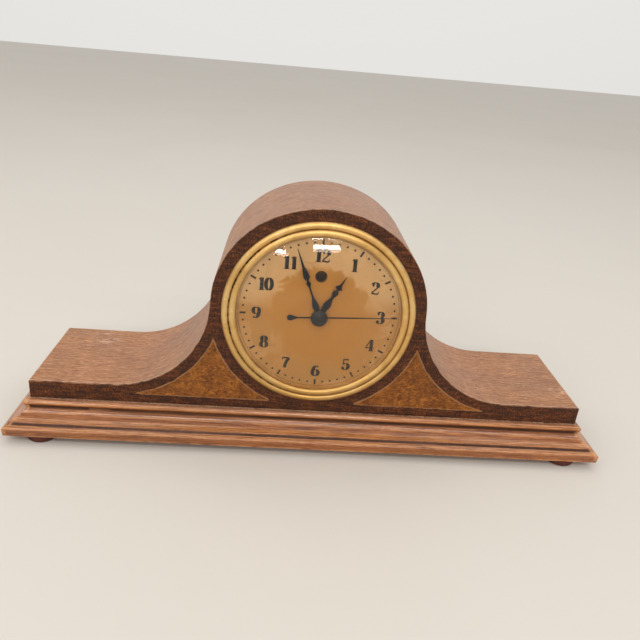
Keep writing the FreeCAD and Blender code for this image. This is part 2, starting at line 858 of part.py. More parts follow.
def mitre_corner(side, outer):
    """The waste beyond the mitre line at one front corner: outer is which side of the line goes."""
    inner_x = (half_width - seat - s["overrun"]) * side
    inner_depth = seat + s["overrun"]
    outer_x = (half_width + overhang + s["overrun"]) * side
    outer_depth = -overhang - s["overrun"]
    if outer == "side":
        return [(inner_x, inner_depth), (outer_x, outer_depth), (outer_x, inner_depth)]
    return [(inner_x, inner_depth), (outer_x, outer_depth), (inner_x, outer_depth)]


front_moulding = base_body("front_moulding")
pad(
    front_moulding, "YZ_Plane", -half_width - overhang, half_width + overhang,
    [moulding_corners(ZERO, -1)],
)
pocket(
    front_moulding, "XY_Plane", ZERO, s["base_height"],
    [mitre_corner(side, "side") for side in (-1, 1)],
)
pocket(
    front_moulding, "XY_Plane", ZERO, s["foot_peg_length"], [],
    [(foot_x * side, foot_depths[0], peg_hole) for side in (-1, 1)],
)

for label, side in (("left_moulding", -1), ("right_moulding", 1)):
    moulding = base_body(label)
    pad(
        moulding, "XZ_Plane", -overhang, s["case_depth"],
        [moulding_corners(half_width * side, side)],
    )
    pocket(moulding, "XY_Plane", ZERO, s["base_height"], [mitre_corner(side, "front")])
    pocket(
        moulding, "XY_Plane", ZERO, s["foot_peg_length"], [],
        [(foot_x * side, foot_depths[1], peg_hole)],
    )

foot_edge = across_both(s["foot_radius"] - s["foot_sole_radius"], s["foot_sole_height"])
foot_corners = [
    (ZERO, ZERO),
    (s["foot_sole_radius"], ZERO, rest_of_circle(s["foot_edge_bulge"], foot_edge / 2), LEFT),
    (s["foot_radius"], s["foot_sole_height"]),
    (s["foot_radius"], s["foot_height"]),
    (s["foot_peg_radius"], s["foot_height"]),
    (s["foot_peg_radius"], s["foot_height"] + s["foot_peg_length"]),
    (ZERO, s["foot_height"] + s["foot_peg_length"]),
]
for end, depth in zip(("front", "rear"), foot_depths):
    for hand, side in (("left", -1), ("right", 1)):
        label = f"foot_{end}_{hand}"
        foot = turned_body(label, foot_corners, "XZ_Plane")
        put(foot, foot_x * side, front_y + depth, ZERO)
        keep(label, foot)

base_screws = []
for number, (x, depth) in enumerate(base_holes, 1):
    screw = turned_body(
        f"base_screw_{number}",
        screw_corners(
            s["base_screw_head_radius"], s["base_screw_radius"], ZERO,
            s["base_screw_head_height"], s["base_height"] + s["base_screw_grip"],
        ),
        "XZ_Plane",
    )
    put(screw, x, front_y + depth, s["foot_height"])
    slot = s["base_screw_head_height"] * SLOT_DEPTH_SHARE
    pocket(screw, "XY_Plane", -s["overrun"], slot, [slot_corners(s["base_screw_head_radius"])])
    base_screws.append(screw)
group("base_screws", base_screws)

# Bezel with its two beads and soldered studs, crystal, ring behind the glass, dial



def bead_arc(start, end):
    """The radius of a bead that stands its rise over the line between its two edges' heights."""
    return rest_of_circle(s["bead_rise"], across_both(s["bead_width"], end - start) / 2)


edge_height = s["bezel_edge_height"]
groove_height = s["bezel_groove_height"]
inner_height = s["bezel_inner_height"]
glass_radius = collar_radius - s["bezel_collar_thickness"]
bezel = turned("bezel", [
    (s["bezel_radius"], ZERO),
    (s["bezel_radius"], -edge_height, bead_arc(edge_height, groove_height), RIGHT),
    (groove_radius, -groove_height, bead_arc(groove_height, inner_height), RIGHT),
    (bezel_inner, -inner_height),
    (bezel_inner, -s["bezel_seat_height"]),
    (glass_radius, -s["bezel_seat_height"]),
    (glass_radius, s["dial_depth"]),
    (collar_radius, s["dial_depth"]),
    (collar_radius, ZERO),
])
pad(
    bezel, "XZ_Plane", ZERO, board_back + s["bezel_stud_length"], [],
    [(place[0], place[1], s["bezel_stud_radius"]) for place in stud_places],
)
nuts = []
for number, place in enumerate(stud_places, 1):
    nut = new_body(f"bezel_nut_{number}")
    turns = [turned_place(s["bezel_nut_radius"], side * 360 / NUT_SIDES) for side in range(NUT_SIDES)]
    pad(
        nut, "XZ_Plane", board_back, board_back + s["bezel_nut_thickness"], [turns],
        [(ZERO, ZERO, s["bezel_stud_radius"] + s["fit_gap"])],
    )
    on_axis(nut, place)
    nuts.append(nut)
group("bezel_nuts", nuts)

flange_radius = glass_radius - s["glass_clearance"]
flange_back = s["crystal_thickness"] - s["bezel_seat_height"]
dome_radius = flange_radius - s["crystal_flange"]
dome_inner = dome_radius - s["crystal_thickness"]
apex = -s["bezel_seat_height"] - s["crystal_rise"]
turned("crystal", [
    (ZERO, apex, rest_of_circle(s["crystal_rise"], dome_radius), LEFT),
    (dome_radius, -s["bezel_seat_height"]),
    (flange_radius, -s["bezel_seat_height"]),
    (flange_radius, flange_back),
    (dome_inner, flange_back, rest_of_circle(s["crystal_rise"], dome_inner), RIGHT),
    (ZERO, apex + s["crystal_thickness"]),
])
turned("glass_ring", ring(
    flange_radius - s["glass_ring_width"], flange_radius, flange_back, s["dial_depth"],
))

dial = new_body("dial_plate")
post_places = [turned_place(s["post_reach"], angle) for angle in POST_ANGLES]
pad(
    dial, "XZ_Plane", s["dial_depth"], dial_back, [],
    [
        (ZERO, ZERO, collar_radius),
        (ZERO, ZERO, s["dial_bore_radius"]),
        (WINDOW[0], WINDOW[1], s["window_radius"]),
    ],
)
on_axis(dial)
keep("dial_plate", dial)

# Movement frame: posts from the dial, two plates, pillars, screws, centre bush, minute stud


def fastened(label, places, head, seat_depth, tip):
    """Screws of the movement at several places: heads at the back, shanks towards the dial."""
    screws = []
    for number, place in enumerate(places, 1):
        screw = turned_body(
            f"{label}_{number}",
            screw_corners(s["screw_head_radius"], s["screw_radius"], head, seat_depth, tip),
        )
        slot = head - s["screw_head_height"] * SLOT_DEPTH_SHARE
        pocket(screw, "XZ_Plane", slot, head + s["overrun"], [slot_corners(s["screw_head_radius"])])
        on_axis(screw, place)
        screws.append(screw)
    group(label, screws)


screw_hole = s["screw_radius"] + s["fit_gap"]
posts = []
for number, place in enumerate(post_places, 1):
    post = turned_body(f"dial_post_{number}", [
        (ZERO, dial_back),
        (s["post_radius"], dial_back),
        (s["post_radius"], front_plate_front),
        (screw_hole, front_plate_front),
        (screw_hole, front_plate_front - s["screw_grip"]),
        (ZERO, front_plate_front - s["screw_grip"]),
    ])
    on_axis(post, place)
    posts.append(post)
group("dial_posts", posts)
fastened(
    "post_screws", post_places, front_plate_back + s["screw_head_height"], front_plate_back,
    front_plate_front - s["screw_grip"] + s["fit_gap"],
)

pillar_places = [
    (s["pillar_reach_side"] * side, rise)
    for side in (-1, 1)
    for rise in (s["pillar_reach_top"], -s["pillar_reach_bottom"])
]
stator_post_reach = s["capsule_radius"] + s["post_radius"] + s["stator_post_gap"]
stator_posts = [
    (stator_post_reach * side, s["stator_post_rise"] - s["rotor_reach"]) for side in (-1, 1)
]
pivot_hole = s["pivot_radius"] + s["running_gap"]
set_hole = s["set_arbor_radius"] + s["running_gap"]
flag_hole = s["flag_arbor_radius"] + s["running_gap"]

front_plate = new_body("front_plate")
pad(
    front_plate, "XZ_Plane", front_plate_front, front_plate_back, [],
    [
        (ZERO, ZERO, s["post_reach"] + s["front_plate_rim"]),
        (ZERO, ZERO, s["bush_radius"] + s["fit_gap"]),
        THIRD + (pivot_hole,),
        MINUTE + (s["stud_radius"] + s["fit_gap"],),
        SETTING + (set_hole,),
        FLAG + (flag_hole,),
    ]
    + [place + (screw_hole,) for place in post_places]
    + [place + (screw_hole,) for place in pillar_places],
)
on_axis(front_plate)
keep("front_plate", front_plate)

plate_half_width = s["pillar_reach_side"] + s["back_plate_margin"]
plate_bottom = s["pillar_reach_bottom"] + s["back_plate_margin"]
plate_top = s["pillar_reach_top"] + s["back_plate_margin"]
back_plate = new_body("back_plate")
pad(
    back_plate, "XZ_Plane", back_plate_front, back_plate_back,
    [round_box(-plate_half_width, plate_half_width, -plate_bottom, plate_top, s["back_plate_corner"])],
    [
        MIDDLE + (pivot_hole,),
        THIRD + (pivot_hole,),
        ROTOR + (s["capsule_boss_radius"] + s["capsule_boss_clearance"],),
        SETTING + (set_hole,),
        FLAG + (flag_hole,),
    ]
    + [place + (screw_hole,) for place in pillar_places]
    + [place + (screw_hole,) for place in stator_posts],
)
on_axis(back_plate)
keep("back_plate", back_plate)

pillars = []
for number, place in enumerate(pillar_places, 1):
    pillar = turned_body(f"plate_pillar_{number}", [
        (ZERO, front_plate_front),
        (s["screw_radius"], front_plate_front),
        (s["screw_radius"], front_plate_back),
        (s["pillar_radius"], front_plate_back),
        (s["pillar_radius"], back_plate_front),
        (screw_hole, back_plate_front),
        (screw_hole, back_plate_front - s["screw_grip"]),
        (ZERO, back_plate_front - s["screw_grip"]),
    ])
    on_axis(pillar, place)
    pillars.append(pillar)
group("plate_pillars", pillars)
fastened(
    "pillar_screws", pillar_places, back_plate_back + s["screw_head_height"], back_plate_back,
    back_plate_front - s["screw_grip"] + s["fit_gap"],
)

bush_front = front_plate_back - s["bush_length"]
turned("centre_bush", [
    (pipe_bore, bush_front),
    (s["bush_flange_radius"], bush_front),
    (s["bush_flange_radius"], front_plate_front),
    (s["bush_radius"], front_plate_front),
    (s["bush_radius"], front_plate_back + s["bush_flange_thickness"]),
    (pipe_bore, front_plate_back + s["bush_flange_thickness"]),
])
minute_wheel_back = minute_wheel_front + s["wheel_thickness"]
stud_shoulder = minute_wheel_back + s["leaf_overlap"]
turned("minute_stud", [
    (ZERO, hour_wheel_front - s["leaf_overlap"]),
    (s["stud_radius"], hour_wheel_front - s["leaf_overlap"]),
    (s["stud_radius"], stud_shoulder),
    (s["stud_shoulder_radius"], stud_shoulder),
    (s["stud_shoulder_radius"], front_plate_front),
    (s["stud_radius"], front_plate_front),
    (s["stud_radius"], front_plate_back),
    (ZERO, front_plate_back),
], MINUTE)

# Train: wheels and pinions, each with the tooth form that its partner runs in


def toothed_shape(count, module, flank, bore, thickness, phase):
    """A wheel or pinion as a disc of teeth around a bore. Phase is one tooth's angle, in radians."""
    pitch_radius = count * module / 2
    pitch = math.tau / count
    outline = []
    for number in range(count):
        middle = phase + number * pitch
        left = [(pitch_radius + rise * module, middle - half * pitch) for rise, half in flank]
        right = [(pitch_radius + rise * module, middle + half * pitch) for rise, half in reversed(flank)]
        outline += left + right
    points = [
        FreeCAD.Vector(radius * math.cos(angle), 0, radius * math.sin(angle))
        for radius, angle in outline
    ]
    wires = [Part.makePolygon(points + points[:1])]
    if bore > 0:
        hole = Part.Circle(FreeCAD.Vector(0, 0, 0), FreeCAD.Vector(0, 1, 0), bore)
        wires.append(Part.Wire(hole.toShape()))
    face = Part.makeFace(wires, "Part::FaceMakerBullseye")
    return face.extrude(FreeCAD.Vector(0, thickness, 0))


def toothed(label, count, module, flank, bore, depths, place, phase):
    """A Part feature with teeth that runs between two depths."""
    wheel = doc.addObject("Part::Feature", label)
    thickness = depths[1].value - depths[0].value
    wheel.Shape = toothed_shape(count, module.value, flank, bore.value, thickness, phase)
    put(wheel, place[0], front_y + depths[0], axis_height + place[1])
    return wheel


def crossed(wheel, count, module, hub_radius):
    """Cuts the windows between a wheel's arms, from its hub to its rim."""
    middle = FreeCAD.Vector(0, 0, 0)
    axis = FreeCAD.Vector(0, 1, 0)
    thickness = s["wheel_thickness"].value
    arm = s["wheel_arm_width"].value
    rim = count * module.value / 2 - s["wheel_rim"].value
    windows = Part.makeCylinder(rim, thickness, middle, axis)
    windows = windows.cut(Part.makeCylinder(hub_radius.value, thickness, middle, axis))
    for number in range(WHEEL_ARMS):
        bar = Part.makeBox(rim, thickness, arm, FreeCAD.Vector(0, 0, -arm / 2))
        bar.rotate(middle, axis, number * 360 / WHEEL_ARMS)
        windows = windows.cut(bar)
    place = wheel.Placement
    wheel.Placement = FreeCAD.Placement()
    wheel.Shape = wheel.Shape.cut(windows)
    wheel.Placement = place
    return wheel


def meshing_phase(place, phase, count, other_place, other_count):
    """The phase that sets the other gear's gap on this gear's tooth, along the line of their centres."""
    x = other_place[0].value - place[0].value
    z = other_place[1].value - place[1].value
    line = math.atan2(z, x)
    share = (line - phase) * count / math.tau
    return line + math.pi - (0.5 - share) * math.tau / other_count


def wheel_depths(front):
    return (front, front + s["wheel_thickness"])


def leaf_depths(front):
    """The leaves of a pinion, which stand past the wheel that they drive on both sides."""
    return (front - s["leaf_overlap"], front + s["wheel_thickness"] + s["leaf_overlap"])


# Seconds arbor, driven by the motor and carrying the second hand
seconds_front = second_hand_front - s["hub_cap_seat"]
seconds_end = back_plate_front - s["pivot_shoulder"]
seconds_bar = turned_body("seconds_bar", [
    (ZERO, seconds_front),
    (s["seconds_arbor_radius"], seconds_front),
    (s["seconds_arbor_radius"], seconds_end),
    (s["pivot_radius"], seconds_end),
    (s["pivot_radius"], back_plate_back),
    (ZERO, back_plate_back),
])
on_axis(seconds_bar)
third_phase = meshing_phase(MIDDLE, 0.0, SECONDS_LEAVES, THIRD, THIRD_TEETH)
seconds_leaves = toothed(
    "seconds_leaves", SECONDS_LEAVES, fast_module, LEAF_SHARES, ZERO,
    leaf_depths(third_wheel_front), MIDDLE, 0.0,
)
fused("seconds_arbor", [seconds_bar, seconds_leaves])
seconds_wheel = toothed(
    "seconds_wheel", SECONDS_TEETH, rotor_module, WHEEL_TOOTH_SHARES,
    s["seconds_arbor_radius"] + s["fit_gap"], wheel_depths(seconds_wheel_front), MIDDLE, 0.0,
)
keep("seconds_wheel", crossed(seconds_wheel, SECONDS_TEETH, rotor_module, s["wheel_hub_radius"]))

# Motor shaft with its pinion, in the sealed capsule
rotor_leaf_depths = leaf_depths(seconds_wheel_front)
shaft_front = rotor_leaf_depths[0] - s["leaf_overlap"]
rotor_bar = turned_body("rotor_bar", ring(
    ZERO, s["rotor_shaft_radius"], shaft_front, capsule_front + s["rotor_shaft_grip"],
))
on_axis(rotor_bar, ROTOR)
rotor_phase = meshing_phase(MIDDLE, 0.0, SECONDS_TEETH, ROTOR, ROTOR_LEAVES)
rotor_leaves = toothed(
    "rotor_leaves", ROTOR_LEAVES, rotor_module, LEAF_SHARES, ZERO, rotor_leaf_depths, ROTOR, rotor_phase,
)
fused("rotor_pinion", [rotor_bar, rotor_leaves])

# Third arbor with its wheel and pinion
third_bar = turned_body("third_bar", [
    (ZERO, front_plate_front),
    (s["pivot_radius"], front_plate_front),
    (s["pivot_radius"], front_plate_back + s["pivot_shoulder"]),
    (s["third_arbor_radius"], front_plate_back + s["pivot_shoulder"]),
    (s["third_arbor_radius"], back_plate_front - s["pivot_shoulder"]),
    (s["pivot_radius"], back_plate_front - s["pivot_shoulder"]),
    (s["pivot_radius"], back_plate_back),
    (ZERO, back_plate_back),
])
on_axis(third_bar, THIRD)
centre_phase = meshing_phase(THIRD, 0.0, THIRD_LEAVES, MIDDLE, CENTRE_TEETH)
third_leaves = toothed(
    "third_leaves", THIRD_LEAVES, slow_module, LEAF_SHARES, ZERO, leaf_depths(centre_wheel_front),
    THIRD, 0.0,
)
fused("third_arbor", [third_bar, third_leaves])
third_wheel = toothed(
    "third_wheel", THIRD_TEETH, fast_module, WHEEL_TOOTH_SHARES,
    s["third_arbor_radius"] + s["fit_gap"], wheel_depths(third_wheel_front), THIRD, third_phase,
)
keep("third_wheel", crossed(third_wheel, THIRD_TEETH, fast_module, s["wheel_hub_radius"]))
centre_wheel = toothed(
    "centre_wheel", CENTRE_TEETH, slow_module, WHEEL_TOOTH_SHARES, pipe_bore,
    wheel_depths(centre_wheel_front), MIDDLE, centre_phase,
)
keep("centre_wheel", crossed(centre_wheel, CENTRE_TEETH, slow_module, s["centre_wheel_hub_radius"]))

# Cannon pinion, which slips in the centre wheel when the hands are set, and its spring
cannon_front = minute_hand_front - s["pipe_proud"]
centre_wheel_back = centre_wheel_front + s["wheel_thickness"]
spring_end = centre_wheel_back + s["spring_dish"] + s["spring_thickness"]
collar_end = spring_end + s["cannon_collar_thickness"]
cannon_bar = turned_body("cannon_bar", [
    (cannon_bore, cannon_front),
    (cannon_radius, cannon_front),
    (cannon_radius, spring_end),
    (s["cannon_collar_radius"], spring_end),
    (s["cannon_collar_radius"], collar_end),
    (cannon_bore, collar_end),
])
on_axis(cannon_bar)
minute_phase = 0.0
cannon_phase = meshing_phase(MINUTE, minute_phase, MINUTE_TEETH, MIDDLE, CANNON_LEAVES)
set_phase = meshing_phase(MINUTE, minute_phase, MINUTE_TEETH, SETTING, SET_LEAVES)
cannon_leaves = toothed(
    "cannon_leaves", CANNON_LEAVES, motion_module, LEAF_SHARES, cannon_bore,
    leaf_depths(minute_wheel_front), MIDDLE, cannon_phase,
)
fused("cannon_pinion", [cannon_bar, cannon_leaves])
turned("clutch_spring", [
    (cannon_radius + s["fit_gap"], centre_wheel_back + s["spring_dish"]),
    (s["spring_radius"], centre_wheel_back),
    (s["spring_radius"], centre_wheel_back + s["spring_thickness"]),
    (cannon_radius + s["fit_gap"], spring_end),
])

# Minute wheel with its pinion on the stud, hour wheel with its pipe
minute_bore = s["stud_radius"] + s["running_gap"]
hour_depths = wheel_depths(hour_wheel_front)
minute_depths = wheel_depths(minute_wheel_front)
minute_teeth = toothed(
    "minute_teeth", MINUTE_TEETH, motion_module, WHEEL_TOOTH_SHARES, minute_bore, minute_depths,
    MINUTE, minute_phase,
)
minute_leaf_phase = 0.0
hour_phase = meshing_phase(MINUTE, minute_leaf_phase, MINUTE_LEAVES, MIDDLE, HOUR_TEETH)
minute_leaves = toothed(
    "minute_leaves", MINUTE_LEAVES, motion_module, LEAF_SHARES, minute_bore,
    (hour_depths[0] - s["leaf_overlap"], minute_depths[0]), MINUTE, minute_leaf_phase,
)
fused("minute_wheel", [minute_teeth, minute_leaves])
pipe_front = hour_hand_front - s["pipe_proud"]
hour_teeth = toothed(
    "hour_teeth", HOUR_TEETH, motion_module, WHEEL_TOOTH_SHARES, s["pipe_radius"] - s["fit_gap"],
    hour_depths, MIDDLE, hour_phase,
)
hour_pipe = turned_body("hour_pipe", ring(pipe_bore, s["pipe_radius"], pipe_front, hour_depths[1]))
on_axis(hour_pipe)
fused("hour_wheel", [hour_teeth, hour_pipe])

# Setting arbor and knob
knob_front = s["case_depth"] + s["cover_depth"] + s["set_knob_gap"]
knob_end = s["case_depth"] + rear_reach
set_end = knob_end - s["set_arbor_inset"]
set_leaf_depths = leaf_depths(minute_wheel_front)
set_bar = turned_body("set_bar", ring(
    ZERO, s["set_arbor_radius"], set_leaf_depths[0] - s["leaf_overlap"], set_end,
))
on_axis(set_bar, SETTING)
set_leaves = toothed(
    "set_leaves", SET_LEAVES, motion_module, LEAF_SHARES, ZERO, set_leaf_depths, SETTING, set_phase,
)
fused("set_arbor", [set_bar, set_leaves])

knob_bore = s["set_arbor_radius"] + s["fit_gap"]
set_knob = turned("set_knob", [
    (knob_bore, knob_front),
    (s["set_knob_radius"], knob_front),
    (s["set_knob_radius"], knob_end - s["set_knob_edge"]),
    (s["set_knob_radius"] - s["set_knob_edge"], knob_end),
    (ZERO, knob_end),
    (ZERO, set_end + s["fit_gap"]),
    (knob_bore, set_end + s["fit_gap"]),
], SETTING)
knurl = pocket(
    set_knob, "XZ_Plane", knob_front - s["overrun"], knob_end + s["overrun"], [],
    [(s["set_knob_radius"] + s["knurl_radius"] / 2, ZERO, s["knurl_radius"])],
)


def spread(body, feature, count):
    """Repeats a cut evenly around the body's Y axis."""
    pattern = body.newObject("PartDesign::PolarPattern", body.Name + "_pattern")
    pattern.Originals = [feature]
    axes = [item for item in body.Origin.OriginFeatures if item.Role == "Y_Axis"]
    pattern.Axis = (axes[0], [""])
    pattern.Angle = 360
    pattern.Occurrences = count
    body.Tip = pattern
    return pattern


spread(set_knob, knurl, KNURLS)

# Hands, pointing up in their own frame and turned to the time that the photograph shows


def hand(label, shares, length, hub_radius, bore, front, back, angle):
    """A flat hand cut from sheet, with a round hub pressed on its pipe or arbor."""
    tip = (length * TIP_SHARE, length)
    right = [(length * wide, length * reach) for wide, reach in shares] + [tip]
    left = [(-x, reach) for x, reach in reversed(right)]
    body = new_body(label)
    pad(body, "XZ_Plane", front, back, [right + left])
    pad(body, "XZ_Plane", front, back, [], [(ZERO, ZERO, hub_radius)])
    pocket(body, "XZ_Plane", front - s["overrun"], back + s["overrun"], [], [(ZERO, ZERO, bore)])
    body.Placement = FreeCAD.Placement(
        FreeCAD.Vector(0, 0, 0), FreeCAD.Rotation(FreeCAD.Vector(0, 1, 0), angle.value)
    )
    body.setExpression("Placement.Rotation.Angle", angle.formula)
    on_axis(body)
    return keep(label, body)


hand(
    "hour_hand", HOUR_HAND_SHARES, bezel_inner - s["hour_hand_clearance"], s["hour_hand_hub_radius"],
    s["pipe_radius"] + s["fit_gap"], hour_hand_front, hour_hand_back, s["hour_hand_angle"],
)
hand(
    "minute_hand", MINUTE_HAND_SHARES,
    bezel_inner - s["minute_hand_clearance"], s["minute_hand_hub_radius"],
    cannon_radius + s["fit_gap"], minute_hand_front, minute_hand_back, s["minute_hand_angle"],
)
hand(
    "second_hand", SECOND_HAND_SHARES,
    bezel_inner - s["second_hand_clearance"], s["second_hand_hub_radius"],
    s["seconds_arbor_radius"] + s["fit_gap"], second_hand_front, second_hand_back, s["second_hand_angle"],
)
cap_back = second_hand_front
cap_front = cap_back - s["hub_cap_height"]
cap_crown = rest_of_circle(s["hub_cap_height"] - s["hub_cap_rim"], s["hub_cap_radius"])
cap_bore = s["seconds_arbor_radius"] + s["fit_gap"]
turned("hub_cap", [
    (cap_bore, cap_back),
    (cap_bore, seconds_front - s["fit_gap"]),
    (ZERO, seconds_front - s["fit_gap"]),
    (ZERO, cap_front, cap_crown, LEFT),
    (s["hub_cap_radius"], cap_back - s["hub_cap_rim"]),
    (s["hub_cap_radius"], cap_back),
])

# Motor: sealed capsule, laminated stator, coil on its bobbin, posts and screws

boss_front = capsule_front - s["capsule_boss_length"]
can_end = capsule_front + s["capsule_length"]
cup_end = can_end + s["rotor_cup_length"]
shaft_bore = s["rotor_shaft_radius"] + s["running_gap"]
shaft_seat = capsule_front + s["rotor_shaft_grip"] + s["leaf_overlap"]
can_corner = s["capsule_corner"]
turned("rotor_capsule", [
    (shaft_bore, boss_front),
    (s["capsule_boss_radius"], boss_front),
    (s["capsule_boss_radius"], capsule_front),
    (s["capsule_radius"] - can_corner, capsule_front),
    (s["capsule_radius"], capsule_front + can_corner),
    (s["capsule_radius"], can_end - can_corner),
    (s["capsule_radius"] - can_corner, can_end),
    (s["rotor_cup_radius"], can_end),
    (s["rotor_cup_radius"], cup_end - can_corner),
    (s["rotor_cup_radius"] - can_corner, cup_end),
    (ZERO, cup_end),
    (ZERO, shaft_seat),
    (shaft_bore, shaft_seat),
], ROTOR)

stator_back = stator_front + s["stator_thickness"]
window_top = -s["stator_head_reach"]
limb_middle = s["rotor_reach"] - axis_rise + s["coil_floor_gap"] + s["coil_height"] / 2
window_bottom = limb_middle + s["stator_limb_width"] / 2
limb_bottom = limb_middle - s["stator_limb_width"] / 2
stator_half_width = stator_post_reach + s["stator_post_margin"]
window_half = stator_half_width - s["stator_limb_width"]
stator = new_body("stator_core")
pad(
    stator, "XZ_Plane", stator_front, stator_back,
    [
        box_corners(-stator_half_width, stator_half_width, limb_bottom, s["stator_head_reach"]),
        box_corners(-window_half, window_half, window_bottom, window_top),
    ],
    [(ZERO, ZERO, s["rotor_cup_radius"] + s["stator_bore_clearance"])]
    + [(stator_post_reach * side, s["stator_post_rise"], screw_hole) for side in (-1, 1)],
)
on_axis(stator, ROTOR)
keep("stator_core", stator)

coil_middle = stator_front + s["stator_thickness"] / 2
limb_half_height = s["stator_limb_width"] / 2 + s["bobbin_gap"]
limb_half_depth = s["stator_thickness"] / 2 + s["bobbin_gap"]


def coil_section(half_depth, half_height):
    """A rectangle around the stator's lower limb, in a plane across it."""
    return box_corners(
        coil_middle - half_depth, coil_middle + half_depth,
        limb_middle - half_height, limb_middle + half_height,
    )


tube_depth = limb_half_depth + s["bobbin_wall"]
tube_height = limb_half_height + s["bobbin_wall"]
coil_half_length = window_half - s["coil_end_gap"]
flange_start = coil_half_length - s["bobbin_wall"]
bore_section = coil_section(limb_half_depth, limb_half_height)
bobbin = new_body("coil_bobbin")
pad(
    bobbin, "YZ_Plane", -coil_half_length, coil_half_length,
    [coil_section(tube_depth, tube_height), bore_section],
)
for start in (-coil_half_length, flange_start):
    pad(
        bobbin, "YZ_Plane", start, start + s["bobbin_wall"],
        [coil_section(s["coil_depth"] / 2, s["coil_height"] / 2), bore_section],
    )
on_axis(bobbin, ROTOR)
keep("coil_bobbin", bobbin)

winding_gap = s["bobbin_gap"] / 2
winding_half_depth = s["coil_depth"] / 2 - s["bobbin_wall"]
winding_half_height = s["coil_height"] / 2 - s["bobbin_wall"]
winding = new_body("coil_winding")
pad(
    winding, "YZ_Plane", winding_gap - flange_start, flange_start - winding_gap,
    [
        round_box(
            coil_middle - winding_half_depth, coil_middle + winding_half_depth,
            limb_middle - winding_half_height, limb_middle + winding_half_height, s["coil_corner"],
        ),
        coil_section(tube_depth + winding_gap, tube_height + winding_gap),
    ],
)
on_axis(winding, ROTOR)
keep("coil_winding", winding)

motor_posts = []
for number, place in enumerate(stator_posts, 1):
    post = turned_body(f"stator_post_{number}", [
        (ZERO, back_plate_front),
        (s["screw_radius"], back_plate_front),
        (s["screw_radius"], back_plate_back),
        (s["post_radius"], back_plate_back),
        (s["post_radius"], stator_front),
        (screw_hole, stator_front),
        (screw_hole, stator_front - s["screw_grip"]),
        (ZERO, stator_front - s["screw_grip"]),
    ])
    on_axis(post, place)
    motor_posts.append(post)
group("stator_posts", motor_posts)
fastened(
    "stator_screws", stator_posts, stator_back + s["screw_head_height"], stator_back,
    stator_front - s["screw_grip"] + s["fit_gap"],
)

# Power-cut indicator: a flag behind the dial's window, on an arbor that an armature turns

flag_x = WINDOW[0] - FLAG[0]
flag_z = WINDOW[1] - FLAG[1]
flag_reach = across_both(flag_x, flag_z)
flag_back = flag_front + s["flag_thickness"]
flag_angle = math.degrees(math.atan2(flag_x.value, flag_z.value)) + s["flag_rest_angle"].value
flag = new_body("indicator_flag")
pad(flag, "XZ_Plane", flag_front, flag_back, [], [(ZERO, ZERO, s["flag_hub_radius"])])
pad(
    flag, "XZ_Plane", flag_front, flag_back,
    [box_corners(-s["flag_arm_width"] / 2, s["flag_arm_width"] / 2, ZERO, flag_reach)],
)
pad(flag, "XZ_Plane", flag_front, flag_back, [], [(ZERO, flag_reach, s["flag_radius"])])
pocket(
    flag, "XZ_Plane", flag_front - s["overrun"], flag_back + s["overrun"], [],
    [(ZERO, ZERO, s["flag_arbor_radius"] + s["fit_gap"])],
)
flag.Placement = FreeCAD.Placement(
    FreeCAD.Vector(0, 0, 0), FreeCAD.Rotation(FreeCAD.Vector(0, 1, 0), flag_angle)
)
on_axis(flag, FLAG)
keep("indicator_flag", flag)

armature_front = stator_front + s["armature_inset"]
armature_back = stator_back - s["armature_inset"]
flag_bar = turned_body("flag_bar", ring(ZERO, s["flag_arbor_radius"], flag_front, stator_back))
on_axis(flag_bar, FLAG)
armature_half = s["armature_width"] / 2
armature = new_body("armature")
pad(
    armature, "XZ_Plane", armature_front, armature_back,
    [box_corners(-armature_half, armature_half, -s["armature_length"], s["flag_hub_radius"])],
)
on_axis(armature, FLAG)
fused("indicator_arbor", [flag_bar, armature])

# Back: vented cover with its screws, and the rubber inlet that a cord would pass

cover_end = s["case_depth"] + s["cover_depth"]
cover_inner = cover_radius - s["cover_wall"]
corner = s["cover_corner"]
inner_corner = corner - s["cover_wall"]
rear_cover = turned("rear_cover", [
    (s["cover_flange_radius"], s["case_depth"]),
    (s["cover_flange_radius"], s["case_depth"] + s["cover_wall"]),
    (cover_radius, s["case_depth"] + s["cover_wall"]),
    (cover_radius, cover_end - corner, corner, LEFT),
    (cover_radius - corner, cover_end),
    (ZERO, cover_end),
    (ZERO, cover_end - s["cover_wall"]),
    (cover_inner - inner_corner, cover_end - s["cover_wall"], inner_corner, RIGHT),
    (cover_inner, cover_end - s["cover_wall"] - inner_corner),
    (cover_inner, s["case_depth"]),
])
pocket(
    rear_cover, "XZ_Plane", s["case_depth"] - s["overrun"], cover_end + s["overrun"], [],
    [SETTING + (s["set_arbor_radius"] + s["cover_bore_gap"],)]
    + [place + (cover_screw_hole,) for place in cover_screw_places],
)
vent_outer = cover_radius - s["vent_rim"]
vent_half = s["vent_width"] / 2
vent = pocket(
    rear_cover, "XZ_Plane", s["case_depth"] - s["overrun"], cover_end + s["overrun"],
    [round_box(vent_outer - s["vent_length"], vent_outer, -vent_half, vent_half, s["vent_corner"])],
)
spread(rear_cover, vent, VENTS)

cover_seat = s["case_depth"] + s["cover_wall"]
cover_screws = []
for number, place in enumerate(cover_screw_places, 1):
    head = cover_seat + s["cover_screw_head_height"]
    screw = turned_body(f"cover_screw_{number}", screw_corners(
        s["cover_screw_head_radius"], s["cover_screw_radius"], head, cover_seat,
        s["case_depth"] - s["cover_screw_grip"],
    ))
    slot = head - s["cover_screw_head_height"] * SLOT_DEPTH_SHARE
    pocket(screw, "XZ_Plane", slot, head + s["overrun"], [slot_corners(s["cover_screw_head_radius"])])
    on_axis(screw, place)
    cover_screws.append(screw)
group("cover_screws", cover_screws)

